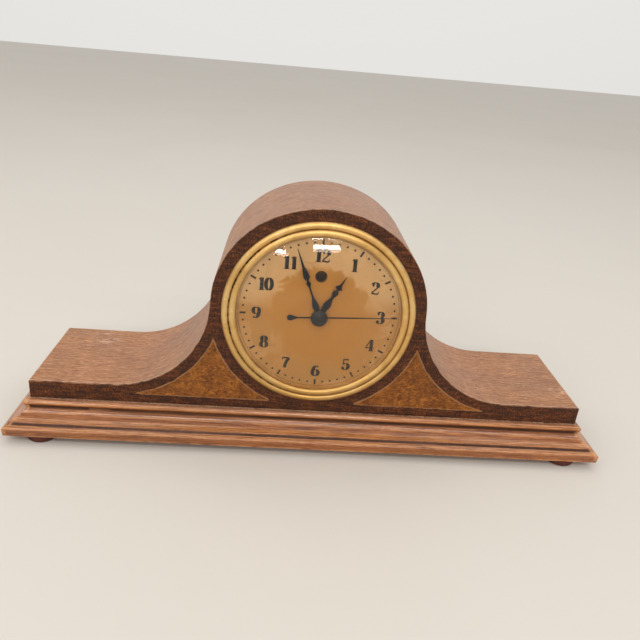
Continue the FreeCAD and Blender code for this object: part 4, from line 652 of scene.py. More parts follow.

# %% [markdown]
# ## Dial
# The dial is sheet metal painted dull gold. It is painted darker in the middle and paler towards the rim in
# ragged clouds. This is a painted reflection of the bright room at the rim and of the dark front of the room
# in the middle. At the top, a paler band has a torn lower edge. A darker ring along the bezel is dust
# together with painted shade of the bezel.

# %% Dial paint
own, shader = new_finish("dial_paint", Metallic=0.15, Specular_IOR_Level=0.35)
centred = from_middle(own, DIAL_MIDDLE)
radius = use_group("turned_marks", Vector=centred, Fineness=900.0)["Radius"]
tone = use_group("patina", Vector=own, Cloud_Scale=24.0, Grain_Scale=1800.0)
# Painted reflection: paler towards the rim in ragged clouds, where the bright room is mirrored, and darker in
# the middle.
ragged = plus(radius, spread(tone["Clouds"], 0.3, 0.7, -10 * MM, 10 * MM))
outer = spread(ragged, 26 * MM, 47 * MM)
reflection_patches = times(spread(noise(own, 52.0, 4.0, 0.55, 1.2), 0.50, 0.535), outer)
torn = times(noise(own, 75.0, 4.0, 0.55, 1.4), 22 * MM)
# A paler band at the top with a torn lower edge.
pale_top_band = spread(plus(radius, torn), 40.5 * MM, 44.5 * MM)
pale_top_band = times(pale_top_band, spread(axes(centred)[2], 0.0, 18 * MM))
# A darker ring along the bezel's edge: dust and painted shade of the bezel.
rim_dust_and_shade = spread(radius, 49.2 * MM, 52.2 * MM)
foxing = spread(noise(own, 420.0, 2.0), 0.70, 0.76)
paint = mixed(outer, colour("#9a641c"), colour("#98692b"))
paint = tint(paint, "#b08049", reflection_patches, 0.5)
paint = tint(paint, "#bb986c", pale_top_band, 0.5)
paint = shaded(paint, spread(tone["Grain"], 0.3, 0.7, 0.93, 1.05))
paint = tint(paint, "#8a6234", rim_dust_and_shade, 0.45)
paint = tint(paint, "#7d5426", foxing, 0.35)
gloss = spread(tone["Clouds"], 0.3, 0.7, 0.42, 0.55)
connect(shader, Base_Color=paint, Roughness=gloss, Normal=bump(tone["Grain"], 0.00002, 0.4))
print("dial paint:", len(own.id_data.nodes), "nodes")

# %% [markdown]
# ## Ink, hands, hub and knob
# Printing ink, the blackened hands and the lacquered hub cap are all near black, and differ in gloss: ink
# is dull and thin in places, the hands are satin with rubbed edges, the cap is the shiniest. The setting
# knob at the back is dark brown resin.

# %% Dark finishes


def make_black(name, code, rubbed_code, gloss, wear, clearcoat=0.0):
    own, shader = new_finish(name, Coat_Weight=clearcoat, Coat_Roughness=0.12, Specular_IOR_Level=0.12)
    tone = use_group("patina", Vector=own, Cloud_Scale=180.0, Grain_Scale=2600.0)
    rubbed = use_group("edge_wear", Vector=own, Reach=0.00025, Corner_Reach=0.001, Patch_Scale=900.0)
    black = mixed(spread(tone["Clouds"], 0.35, 0.75), colour(code), colour(rubbed_code))
    black = tint(black, "#7a6a55", rubbed["Wear"], wear)
    shine = spread(tone["Grain"], 0.2, 0.8, gloss - 0.06, gloss + 0.08)
    connect(shader, Base_Color=black, Roughness=shine, Normal=bump(tone["Grain"], 0.00001, 0.3))


make_black("ink", "#0b0806", "#33271b", 0.55, 0.0)
make_black("hand_black", "#040303", "#0c0a09", 0.40, 0.2)
make_black("hub_black", "#070503", "#0f0b07", 0.22, 0.2, clearcoat=0.3)
make_black("knob_brown", "#3b1e10", "#54301b", 0.3, 0.35, clearcoat=0.4)
print("dark finishes:", list(finishes)[-4:])

# %% [markdown]
# ## Glass
# A glass shader bends light, and so blocks the straight line from a lamp to the dial; the dial would sit
# in a hard shadow. Real glass lets that light through. So shadow rays, and only they, are let pass by a
# see-through shader.

# %% Glass
own, glass = new_finish("crystal_glass", Transmission_Weight=1.0, IOR=1.36, Metallic=0.0,
                        Base_Color=(0.985, 0.99, 0.98, 1))
film = use_group("patina", Vector=own, Cloud_Scale=30.0, Grain_Scale=900.0)
connect(glass, Roughness=spread(film["Clouds"], 0.45, 0.8, 0.0, 0.008))
tree = own.id_data
clear = add_node(tree, "ShaderNodeBsdfTransparent", {"Color": (0.93, 0.94, 0.93, 1)}).outputs[0]
in_shadow = add_node(tree, "ShaderNodeLightPath").outputs["Is Shadow Ray"]
either = follow("ShaderNodeMixShader", {0: in_shadow, 1: glass.outputs[0], 2: clear})
connect(tree.get_output_node("ALL"), Surface=either)
print("glass:", len(tree.nodes), "nodes")

# %% [markdown]
# ## Metal of the works
# Behind the dial are brass plates and wheels, steel arbors and screws, a motor with a stack of thin iron
# sheets and a coil bound in cotton tape. Turned pieces show rings about their own arbor, so each arbor
# gets a brass of its own, moved to its middle.

# %% Brass, steel and copper


def make_metal(name, stops, middle, gloss, spots=0.25, spot_code="#5c4524", metallic=1.0):
    own, shader = new_finish(name, Metallic=metallic)
    centred = from_middle(own, middle)
    rings = use_group("turned_marks", Vector=centred)
    tone = use_group("patina", Vector=own, Cloud_Scale=120.0, Grain_Scale=2200.0)
    rubbed = use_group("edge_wear", Vector=own, Reach=0.0004, Corner_Reach=0.0015, Patch_Scale=500.0)
    metal = ramp(plus(times(tone["Clouds"], 0.6), times(rings["Marks"], 0.4)), stops)
    metal = tint(metal, spot_code, spread(tone["Grain"], 0.6, 0.72), spots)
    metal = tint(metal, spot_code, rubbed["Dirt"], 0.5)
    metal = tint(metal, stops[-1][1], rubbed["Wear"], 0.5)
    shine = spread(rings["Marks"], 0.2, 0.8, gloss - 0.08, gloss + 0.10)
    connect(shader, Base_Color=metal, Roughness=shine, Normal=bump(rings["Marks"], 0.00003, 0.5))


BRASS = [(0.2, "#a98446"), (0.5, "#cba560"), (0.8, "#e2c283")]
STEEL = [(0.2, "#77736c"), (0.5, "#9c9890"), (0.8, "#c2beb6")]
FLAG_RED = [(0.2, "#8f1d14"), (0.5, "#b42a1e"), (0.8, "#c8402f")]
ARBORS = {"middle": (0.0, 94.9), "third": (-12.24, 94.9), "minute": (6.928, 98.9), "rotor": (0.0, 83.4)}
for arbor, (x, z) in ARBORS.items():
    make_metal(f"brass_{arbor}", BRASS, (x * MM, 0, z * MM), 0.28)
make_metal("darkened_brass", [(0.2, "#2d2011"), (0.5, "#463319"), (0.8, "#5f4826")], DIAL_MIDDLE, 0.45)
make_metal("steel", STEEL, DIAL_MIDDLE, 0.27, spots=0.12, spot_code="#3f3a34")
make_metal("screw_steel", [(0.2, "#8d8068"), (0.5, "#b3a384"), (0.8, "#d4c6a8")], DIAL_MIDDLE, 0.33,
           spots=0.4)
make_metal("copper_can", [(0.2, "#8a5c3e"), (0.5, "#b27c55"), (0.8, "#cf9c74")], (0, 0, 83.4 * MM), 0.34)
make_metal("red_flag", FLAG_RED, DIAL_MIDDLE, 0.4, spots=0.1, metallic=0.0)
print("brass turned about:", list(ARBORS))

# %% Iron sheets and cotton tape
SHEET_PITCH = 0.5 * MM
own, shader = new_finish("iron_stack", Metallic=0.85)
sheets = wave(axes(own)[1], math.pi / SHEET_PITCH)
tone = use_group("patina", Vector=own, Cloud_Scale=90.0, Grain_Scale=1600.0)
iron = ramp(tone["Clouds"], [(0.25, "#39322d"), (0.5, "#4d4742"), (0.75, "#665d54")])
iron = tint(iron, "#191512", spread(sheets, 0.05, 0.35, 1.0, 0.0), 0.7)
iron = tint(iron, "#5d3a22", spread(tone["Grain"], 0.62, 0.72), 0.4)
connect(shader, Base_Color=iron, Roughness=spread(tone["Grain"], 0.2, 0.8, 0.42, 0.6),
        Normal=bump(sheets, 0.0001, 0.6))

TAPE_PITCH, TAPE_SLANT, THREAD_PITCH = 6.0 * MM, 0.16, 0.35 * MM
own, shader = new_finish("cotton_tape", Sheen_Weight=0.3, Specular_IOR_Level=0.3)
parts = axes(own)
slant = plus(parts[0], times(parts[2], TAPE_SLANT))
overlap = spread(calc("FRACT", calc("DIVIDE", slant, TAPE_PITCH)), 0.0, 0.12)
weave = times(wave(slant, math.pi / THREAD_PITCH), wave(parts[2], math.pi / THREAD_PITCH))
tone = use_group("patina", Vector=own, Cloud_Scale=70.0, Grain_Scale=1200.0)
tape = ramp(tone["Clouds"], [(0.25, "#6e4a26"), (0.5, "#8b6236"), (0.75, "#a87d4b")])
tape = tint(tape, "#35210f", inverse(overlap), 0.7)
tape = tint(tape, "#4a3118", inverse(weave), 0.3)
connect(shader, Base_Color=tape, Roughness=spread(tone["Grain"], 0.2, 0.8, 0.6, 0.8),
        Normal=bump(plus(times(weave, 0.4), overlap), 0.0002, 0.7))
print("metals and tape:", len(finishes), "finishes so far")

# %% [markdown]
# ## Paint, fibre and rubber of the back
# The pressed cover has a wrinkle finish, the kind that dries into a fine crinkled skin: cell edges pushed
# about by noise. Fibre board is speckled, and the feet and the inlet are rubber with a bloom of dust.

# %% Wrinkle paint, fibre, rubber
own, shader = new_finish("wrinkle_paint", Specular_IOR_Level=0.5)
pushed = vector_calc("ADD", scaled(noise(own, 500.0, output="Color"), (0.002, 0.002, 0.002)), own)
cells = follow("ShaderNodeTexVoronoi", {"Vector": pushed, "Scale": 620.0}, feature="DISTANCE_TO_EDGE")
folds = spread(cells, 0.0, 0.22)
rubbed = use_group("edge_wear", Vector=own, Reach=0.0008, Corner_Reach=0.003, Patch_Scale=400.0)
# The cell edges are the low creases of the skin. Painting them darker than the raised cells is painted shade
# in the folds.
paint = mixed(folds, colour("#1f1712"), colour("#4d3c30"))
paint = tint(paint, "#8f8373", rubbed["Wear"], 0.7)
paint = tint(paint, "#6f6152", rubbed["Dirt"], 0.3)
connect(shader, Base_Color=paint, Roughness=spread(folds, 0.0, 1.0, 0.6, 0.36),
        Normal=bump(folds, 0.00018, 0.8))


def make_dull(name, dark_code, light_code, gloss, grain_scale, dusty):
    own, shader = new_finish(name, Specular_IOR_Level=0.35)
    tone = use_group("patina", Vector=own, Cloud_Scale=150.0, Grain_Scale=grain_scale)
    rubbed = use_group("edge_wear", Vector=own, Reach=0.0008, Corner_Reach=0.003, Patch_Scale=300.0)
    dull = mixed(spread(tone["Clouds"], 0.3, 0.7), colour(dark_code), colour(light_code))
    dull = tint(dull, "#a08d78", spread(tone["Grain"], 0.55, 0.7), dusty)
    dull = tint(dull, light_code, rubbed["Wear"], 0.35)
    gloss = spread(tone["Grain"], 0.2, 0.8, gloss - 0.08, gloss + 0.08)
    connect(shader, Base_Color=dull, Roughness=gloss, Normal=bump(tone["Grain"], 0.00006, 0.5))


make_dull("red_rubber", "#3d180f", "#542417", 0.62, 1400.0, 0.15)
make_dull("black_rubber", "#14110f", "#2a2522", 0.58, 1400.0, 0.2)
make_dull("fibre", "#2c1d14", "#49301f", 0.55, 1900.0, 0.15)
print("all finishes:", len(finishes))

# %% [markdown]
# ## Giving each piece its finish
# A table from finish to pieces is easier to check than fifty assignments.

# %% Finish table
PIECES_IN = {
    "front_veneer": "front_veneer", "burl": "inlay_left inlay_right", "top_skin": "top_skin",
    "moulding_front": "front_moulding", "moulding_side": "left_moulding right_moulding",
    "wing_block": "front_board wing_block_left wing_block_right", "back_board": "back_board",
    "plain_board": "base_board front_glue_strip rear_glue_strip",
    "red_rubber": "foot_front_left foot_front_right foot_rear_left foot_rear_right",
    "gilt": "bezel glass_ring", "crystal_glass": "crystal", "dial_paint": "dial_plate",
    "hand_black": "hour_hand minute_hand second_hand", "hub_black": "hub_cap",
    "darkened_brass": "front_plate", "brass_third": "third_wheel", "brass_minute": "minute_wheel",
    "brass_rotor": "stator_posts",
    "brass_middle": "back_plate plate_pillars centre_bush seconds_wheel centre_wheel hour_wheel dial_posts",
    "steel": "seconds_arbor rotor_pinion third_arbor cannon_pinion clutch_spring set_arbor minute_stud "
             "indicator_arbor",
    "screw_steel": "post_screws pillar_screws stator_screws base_screws bezel_nuts cover_screws",
    "copper_can": "rotor_capsule", "iron_stack": "stator_core", "cotton_tape": "coil_winding",
    "fibre": "coil_bobbin", "red_flag": "indicator_flag", "wrinkle_paint": "rear_cover",
    "knob_brown": "set_knob", "black_rubber": "cord_inlet",
}
FINISH_OF = {piece: finish for finish, pieces in PIECES_IN.items() for piece in pieces.split()}
for name, node in frame["nodes"].items():
    node.data.materials.clear()
    node.data.materials.append(finishes[FINISH_OF[name]])
print("finished pieces:", len(FINISH_OF), "of", len(frame["nodes"]))

# %% [markdown]
# ## Soft edges
# The measured pieces come as loose triangles with flat faces. Flat boards look right that way, but a
# curved surface would show its facets in every reflection, and no real edge is knife sharp. So merged
# copies of the curved and handled pieces are made, their sharp edges get a small round like a sanded or
# rolled edge, and each copy stands in for the measured piece. One seam stays sharp: the front edge of the
# bent skin lies against the veneer, and a round there would open a groove.

# %% Mesh helpers
MERGE_DISTANCE = 2e-6
SHARP = math.radians(32)


def measured_form(name):
    """A measured piece in its place, open for editing, with its loose triangles merged."""
    source = frame["nodes"][name]
    form = bmesh.new()
    form.from_mesh(source.data)
    form.transform(source.matrix_world)
    bmesh.ops.remove_doubles(form, verts=form.verts, dist=MERGE_DISTANCE)
    return form


def close_form(form, name, smooth=True):
    """The edited form as a mesh that shades smoothly between its sharp edges."""
    mesh = bpy.data.meshes.new(name)
    form.to_mesh(mesh)
    form.free()
    if smooth:
        mesh.shade_smooth()
        mesh.set_sharp_from_angle(angle=SHARP)
    return mesh


def add_piece(name, mesh):
    piece = bpy.data.objects.new(name, mesh)
    scene.collection.objects.link(piece)
    return piece


# %% Round the edges of curved and handled pieces
AT_FRONT = 0.01 * MM
BODIES = frame["record"]["behaviour"]["bodies"]
BODY_OF = {member: body for body, members in BODIES.items() for member in members}
SQUARE_FRONTS = {"top_skin"}
FLAT_ANGLE = math.radians(0.4)


def rounded_copy(name, width):
    """A merged copy of a measured piece with small rounds on its sharp edges."""
    form = measured_form(name)
    bmesh.ops.dissolve_limit(form, angle_limit=FLAT_ANGLE, verts=form.verts, edges=form.edges)
    edges = [edge for edge in form.edges if len(edge.link_faces) == 2 and edge.calc_face_angle(0.0) > SHARP]
    if name in SQUARE_FRONTS:
        front = min(vert.co.y for vert in form.verts)
        edges = [edge for edge in edges if any(vert.co.y > front + AT_FRONT for vert in edge.verts)]
    bmesh.ops.bevel(form, geom=edges, offset=width, segments=2, profile=0.5, affect="EDGES",
                    clamp_overlap=True)
    bmesh.ops.triangulate(form, faces=[face for face in form.faces if len(face.verts) > 4])
    piece = add_piece(name + "_rounded", close_form(form, name + "_rounded"))
    piece.data.materials.append(finishes[FINISH_OF[name]])
    weighted = piece.modifiers.new("flat faces stay flat", "WEIGHTED_NORMAL")
    weighted.keep_sharp = True
    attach(piece, BODY_OF[name])
    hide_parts(name)
    return len(piece.data.polygons)


ROUNDS = {
    "top_skin": 0.25, "front_veneer": 0.2,
    "front_moulding": 0.22, "left_moulding": 0.22, "right_moulding": 0.22,
    "wing_block_left": 0.2, "wing_block_right": 0.2, "back_board": 0.3,
    "bezel": 0.12, "glass_ring": 0.1, "hub_cap": 0.15, "rear_cover": 0.1, "set_knob": 0.12,
    "foot_front_left": 0.3, "foot_front_right": 0.3, "foot_rear_left": 0.3, "foot_rear_right": 0.3,
    "cord_inlet": 0.25, "cover_screws": 0.12, "hour_hand": 0.06, "minute_hand": 0.06, "second_hand": 0.04,
}
sizes = {name: rounded_copy(name, width * MM) for name, width in ROUNDS.items()}
print("rounded pieces:", sizes)

# %% [markdown]
# ## The dome of glass
# Any unevenness in glass shows at once in its reflections, so the crystal is turned here from its exact
# profile: two arcs of one circle each, and a flange in the bezel's seat. A lathe is a profile copied
# around an axis.

# %% A lathe


def lathe(name, profile, sides, middle):
    """A closed solid from (radius, depth) points turned about the dial's axis. Radius 0 makes a pole."""
    form = bmesh.new()
    loops = []
    for radius, depth in profile:
        if radius == 0:
            loops.append([form.verts.new((middle.x, depth, middle.z))])
            continue
        angles = [math.tau * side / sides for side in range(sides)]
        loops.append([form.verts.new((middle.x + radius * math.cos(angle), depth,
                                      middle.z + radius * math.sin(angle))) for angle in angles])
    for near, far in zip(loops, loops[1:]):
        for side in range(sides):
            corners = [near[side % len(near)], near[(side + 1) % len(near)], far[(side + 1) % len(far)],
                       far[side % len(far)]]
            form.faces.new(list(dict.fromkeys(corners)))
    bmesh.ops.recalc_face_normals(form, faces=form.faces)
    return add_piece(name, close_form(form, name))


# %% Turn the crystal
ARC_STEPS, GLASS_SIDES = 36, 180
GLASS_THICKNESS = 1.2 * MM
FLANGE = 2.7 * MM
flange_radius = (glass_high.x - glass_low.x) / 2
dome_radius = flange_radius - FLANGE
dome_inner = dome_radius - GLASS_THICKNESS
flange_back = glass_high.y
flange_front = flange_back - GLASS_THICKNESS
dome_rise = flange_front - glass_low.y


def dome_arc(half_chord, apex):
    """Points from the pole out to the rim of a spherical dome with its pole at a given depth."""
    radius = (half_chord ** 2 + dome_rise ** 2) / (2 * dome_rise)
    widest = math.asin(half_chord / radius)
    angles = [widest * step / ARC_STEPS for step in range(ARC_STEPS + 1)]
    return [(radius * math.sin(angle), apex + radius * (1 - math.cos(angle))) for angle in angles]


outer_arc = dome_arc(dome_radius, glass_low.y)
inner_arc = dome_arc(dome_inner, glass_low.y + GLASS_THICKNESS)
crystal_profile = outer_arc + [(flange_radius, flange_front), (flange_radius, flange_back)] + inner_arc[::-1]
crystal = lathe("crystal_dome", crystal_profile, GLASS_SIDES, DIAL_MIDDLE)
crystal.data.materials.append(finishes["crystal_glass"])
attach(crystal, "case")
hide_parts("crystal")
print("crystal:", len(crystal.data.polygons), "faces, dome", round(dome_rise / MM, 1), "mm high")

# %% [markdown]
# ## The minute track
# Sixty marks around a circle: dots for the minutes, bars for the hours. Drawing them one by one would hide
# the rule, so a Geometry Nodes tree states it: a circle of sixty points, a dot on each point that isn't a
# fifth one, and a bar, turned to point outwards, on each fifth. Changing one input moves the whole track.

# %% Geometry Nodes helpers


def new_tree(name, inputs):
    """A geometry tree whose inputs are (name, kind, value)."""
    tree = bpy.data.node_groups.new(name, "GeometryNodeTree")
    for label, kind, value in inputs:
        socket = tree.interface.new_socket(name=label, in_out="INPUT", socket_type="NodeSocket" + kind)
        if value is not None:
            socket.default_value = value
    tree.interface.new_socket(name="Geometry", in_out="OUTPUT", socket_type="NodeSocketGeometry")
    return tree, tree.nodes.new("NodeGroupInput").outputs, tree.nodes.new("NodeGroupOutput")


def grow(name, tree, source=None, **inputs):
    """Runs a geometry tree on a mesh, or on none, and keeps the result as a plain piece on the case."""
    carrier = add_piece(name + "_source", source or bpy.data.meshes.new(name + "_source"))
    modifier = carrier.modifiers.new(name, "NODES")
    modifier.node_group = tree
    identifiers = {item.name: item.identifier for item in tree.interface.items_tree if item.in_out == "INPUT"}
    for label, value in inputs.items():
        modifier[identifiers[label.replace("_", " ")]] = value
    bpy.context.view_layer.update()
    mesh = bpy.data.meshes.new_from_object(carrier.evaluated_get(bpy.context.evaluated_depsgraph_get()))
    bpy.data.objects.remove(carrier, do_unlink=True)
    mesh.name = name
    piece = add_piece(name, mesh)
    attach(piece, "case")
    return piece


def dressed(geometry, finish):
    """The end of every tree: copies made real and a finish set."""
    real = follow("GeometryNodeRealizeInstances", {0: geometry})
    return follow("GeometryNodeSetMaterial", {"Geometry": real, "Material": finishes[finish]})


def to_dial(geometry, lift):
    """Turns a flat pattern to face out of the dial, tilts it as the dial is and lifts it off the paint."""
    return follow("GeometryNodeTransform", {
        "Geometry": geometry, "Rotation": (math.pi / 2, -DIAL_TILT, 0),
        "Translation": (DIAL_MIDDLE.x, DIAL_MIDDLE.y - lift, DIAL_MIDDLE.z),
    })


# %% Grow the minute track
INK_THICKNESS = 0.03 * MM
TRACK_LIFT = INK_THICKNESS * 0.6
MINUTES = 60
DOT_SIDES = 20
TRACK_RADIUS = 46.9 * MM

tree, given, result = new_tree("minute_track", [
    ("Radius", "Float", TRACK_RADIUS), ("Dot Radius", "Float", 0.66 * MM), ("Bar Length", "Float", 3.7 * MM),
    ("Bar Width", "Float", 1.25 * MM), ("Thickness", "Float", INK_THICKNESS),
])
circle = follow("GeometryNodeMeshCircle", {"Radius": given["Radius"], "Vertices": MINUTES})
index = tree.nodes.new("GeometryNodeInputIndex").outputs[0]
fifth = follow("FunctionNodeCompare", {"A": calc("MODULO", index, 5.0), "B": 0.5}, operation="LESS_THAN")
not_fifth = follow("FunctionNodeBooleanMath", {0: fifth}, operation="NOT")
dot = follow("GeometryNodeMeshCylinder",
             {"Vertices": DOT_SIDES, "Radius": given["Dot Radius"], "Depth": given["Thickness"]})
bar_size = combine(given["Bar Length"], given["Bar Width"], given["Thickness"])
bar = follow("GeometryNodeMeshCube", {"Size": bar_size})
outwards = combine(0.0, 0.0, times(index, math.tau / MINUTES))
dots = follow("GeometryNodeInstanceOnPoints", {"Points": circle, "Selection": not_fifth, "Instance": dot})
bars = follow("GeometryNodeInstanceOnPoints",
              {"Points": circle, "Selection": fifth, "Instance": bar, "Rotation": outwards})
together = tree.nodes.new("GeometryNodeJoinGeometry")
for marks in (dots, bars):
    tree.links.new(marks, together.inputs[0])
connect(result, Geometry=dressed(to_dial(together.outputs[0], TRACK_LIFT), "ink"))
track = grow("minute_track", tree, Radius=TRACK_RADIUS)
print("minute track:", len(track.data.polygons), "faces")

# %% [markdown]
# ## The numerals
# The figures are plain numbers in the heavy style that dials of this age use: thick upright strokes,
# hairline joins and round ends. A font would bring someone else's drawing with it, so each figure is drawn
# as a pen would: a line to follow, and a pen whose stroke is wide when it moves up or down and thin when
# it moves sideways.

# %% Pen strokes
THICK, THIN = 0.27, 0.055
PEN_POWER = 1.7
BEND_STEPS = 14


def arc(x, z, wide, high, start, end, steps=22):
    """Points on an ellipse from one angle to another, in degrees."""
    angles = [math.radians(start + (end - start) * step / steps) for step in range(steps + 1)]
    return [(x + wide * math.cos(angle), z + high * math.sin(angle)) for angle in angles]


def bend(*corners):
    """Points on a Bezier curve: its start, two points that pull it, its end."""
    points = []
    for step in range(BEND_STEPS + 1):
        t = step / BEND_STEPS
        parts = ((1 - t) ** 3, 3 * t * (1 - t) ** 2, 3 * t * t * (1 - t), t ** 3)
        points.append([sum(part * corner[axis] for part, corner in zip(parts, corners)) for axis in (0, 1)])
    return points


def pen_width(upright, pen):
    """The stroke's width: fixed, or by how upright the line runs."""
    return THIN + (THICK - THIN) * upright ** PEN_POWER if pen == "round" else pen


# %% [markdown]
# Each figure is a few strokes in a box one unit high, and each stroke names its pen: round for one that
# swells and thins, or a number for one of even width. Round ends are small balls. The nine is the six
# turned about its middle.

# %% Draw the figures
SLIM, WIDE = 0.50, 0.62
FIGURES = {
    "0": [(arc(0.31, 0.5, 0.21, 0.475, 0, 360, 44), "round")],
    "1": [([(0.31, 0.0), (0.31, 1.0)], THICK), ([(0.10, 0.015), (0.52, 0.015)], THIN),
          ([(0.10, 0.86), (0.30, 0.98)], THIN * 1.6)],
    "2": [(arc(0.29, 0.72, 0.19, 0.26, 165, -30), "round"),
          (bend((0.455, 0.60), (0.38, 0.40), (0.12, 0.30), (0.07, 0.06)), THIN * 1.8),
          (bend((0.06, 0.06), (0.20, 0.16), (0.34, -0.03), (0.53, 0.09)), 0.13),
          ([(0.53, 0.04), (0.56, 0.26)], THIN)],
    "3": [(arc(0.28, 0.75, 0.17, 0.23, 160, -78), "round"),
          (arc(0.27, 0.27, 0.21, 0.26, 82, -160, 28), "round")],
    "4": [([(0.42, 0.0), (0.42, 1.0)], THICK * 0.9), ([(0.36, 0.98), (0.02, 0.28)], THIN * 1.5),
          ([(0.02, 0.28), (0.62, 0.28)], THIN * 1.5), ([(0.24, 0.015), (0.60, 0.015)], THIN)],
    "5": [([(0.14, 0.96), (0.11, 0.52)], THIN * 1.5), ([(0.13, 0.92), (0.50, 0.92)], 0.13),
          (arc(0.28, 0.30, 0.21, 0.285, 142, -160, 30), "round")],
    "6": [(arc(0.31, 0.29, 0.21, 0.275, 0, 360, 40), "round"),
          (bend((0.115, 0.30), (0.11, 0.68), (0.24, 0.98), (0.47, 0.90)), "round")],
    "7": [([(0.08, 0.90), (0.54, 0.90)], 0.14), ([(0.08, 0.98), (0.07, 0.72)], THIN * 1.2),
          (bend((0.53, 0.90), (0.40, 0.62), (0.27, 0.44), (0.25, 0.02)), THICK * 0.85)],
    "8": [(arc(0.31, 0.75, 0.155, 0.225, 0, 360, 36), "round"),
          (arc(0.31, 0.265, 0.20, 0.25, 0, 360, 38), "round")],
}
BALLS = {"2": [(0.14, 0.72)], "3": [(0.13, 0.77), (0.09, 0.22)], "5": [(0.09, 0.23)], "6": [(0.46, 0.84)]}
BALL_RADIUS = 0.078


def about_middle(point):
    return WIDE - point[0], 1.0 - point[1]


FIGURES["9"] = [([about_middle(point) for point in line], pen) for line, pen in FIGURES["6"]]
BALLS["9"] = [about_middle(point) for point in BALLS["6"]]
print("figures drawn:", sorted(FIGURES))

# %% [markdown]
# Ink lies on the paint as a layer with a thickness of its own, so each stroke becomes a thin solid: two
# rows of points, half a pen's width to each side of the line, joined in front, behind and along both
# edges.

# %% Turn strokes into thin solids
NUMERAL_HEIGHT = 8.0 * MM
NUMERAL_STRETCH = 1.08
ink_front = DIAL_MIDDLE.y - INK_THICKNESS
ink_back = DIAL_MIDDLE.y


def add_strip(form, left, right):
    """A thin closed solid between two rows of (x, z) points."""
    sides = ((left, ink_front), (right, ink_front), (right, ink_back), (left, ink_back))
    rows = [[form.verts.new((x, depth, z)) for x, z in points] for points, depth in sides]
    for number in range(len(left) - 1):
        for near, far in zip(rows, rows[1:] + rows[:1]):
            form.faces.new((near[number], near[number + 1], far[number + 1], far[number]))
    for end in (0, -1):
        form.faces.new([row[end] for row in rows])


def add_figure(form, figure, corner):
    """One figure with its lower left corner at (x, z) on the dial."""
    def place(x, z):
        return corner[0] + x * NUMERAL_HEIGHT * NUMERAL_STRETCH, corner[1] + z * NUMERAL_HEIGHT

    for line, pen in FIGURES[figure]:
        left, right = [], []
        for number, (x, z) in enumerate(line):
            before, after = line[max(number - 1, 0)], line[min(number + 1, len(line) - 1)]
            across, up = after[0] - before[0], after[1] - before[1]
            length = math.hypot(across, up)
            half = pen_width(abs(up) / length, pen) / 2
            left.append(place(x - up / length * half, z + across / length * half))
            right.append(place(x + up / length * half, z - across / length * half))
        add_strip(form, left, right)
    for x, z in BALLS.get(figure, []):
        rim = arc(x, z, BALL_RADIUS / NUMERAL_STRETCH, BALL_RADIUS, 0, 360, DOT_SIDES)[:-1]
        half = len(rim) // 2
        upper = [place(*point) for point in rim[:half + 1]]
        lower = [place(*point) for point in (rim[half:] + rim[:1])[::-1]]
        add_strip(form, upper, lower)


# %% Print the numerals on the dial
NUMERAL_RADIUS = 38.6 * MM


def inked(piece):
    """Makes a piece a part of the dial's print."""
    piece.data.materials.append(finishes["ink"])
    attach(piece, "case")


def figure_width(figure):
    return (SLIM if figure == "1" else WIDE) * NUMERAL_HEIGHT * NUMERAL_STRETCH


numerals = bmesh.new()
for hour in range(1, 13):
    angle = math.radians(90 - hour * 30) + DIAL_TILT
    text = str(hour)
    x = DIAL_MIDDLE.x + NUMERAL_RADIUS * math.cos(angle) - sum(figure_width(figure) for figure in text) / 2
    z = DIAL_MIDDLE.z + NUMERAL_RADIUS * math.sin(angle) - NUMERAL_HEIGHT / 2
    for figure in text:
        add_figure(numerals, figure, (x, z))
        x += figure_width(figure)
bmesh.ops.recalc_face_normals(numerals, faces=numerals.faces)
numeral_piece = add_piece("numerals", close_form(numerals, "numerals", smooth=False))
inked(numeral_piece)
print("numerals:", len(numeral_piece.data.polygons), "faces")

# %% [markdown]
# ## Fine rings on the dial
# A hairline runs around outside the minute track, and the round window is edged by a dark printed ring.
# Both are the same thing, a thin flat ring at some place on the dial, so one small lathe does both.

# %% Print the rings
HAIRLINE_RADIUS = 49.6 * MM
HAIRLINE_WIDTH = 0.14 * MM
WINDOW_REACH = 25.4 * MM
WINDOW_RADIUS = 3.2 * MM
WINDOW_LINE = 0.5 * MM
RING_SIDES = 120


def print_ring(name, inner, outer, middle):
    profile = [(inner, ink_back), (outer, ink_back), (outer, ink_front), (inner, ink_front)]
    profile += profile[:1]
    piece = lathe(name, profile, RING_SIDES, middle)
    form = bmesh.new()
    form.from_mesh(piece.data)
    bmesh.ops.remove_doubles(form, verts=form.verts, dist=MERGE_DISTANCE)
    bmesh.ops.recalc_face_normals(form, faces=form.faces)
    form.to_mesh(piece.data)
    form.free()
    inked(piece)


window_middle = DIAL_MIDDLE + Vector((-math.sin(DIAL_TILT), 0, math.cos(DIAL_TILT))) * WINDOW_REACH
print_ring("track_hairline", HAIRLINE_RADIUS, HAIRLINE_RADIUS + HAIRLINE_WIDTH, DIAL_MIDDLE)
print_ring("window_ring", WINDOW_RADIUS, WINDOW_RADIUS + WINDOW_LINE, window_middle)
print("window at", [round(value / MM, 1) for value in window_middle])

# %% [markdown]
# ## Stringing around the inlays
# A thin line of pale wood frames each burl inlay. It follows the inlay's outline, so it is grown along
# that outline: the front face's border is read from the measured piece as a closed path, and a Geometry
# Nodes tree sweeps a flat strip of veneer along it.

# %% Find an inlay's border
MITRE_LIMIT = 0.35


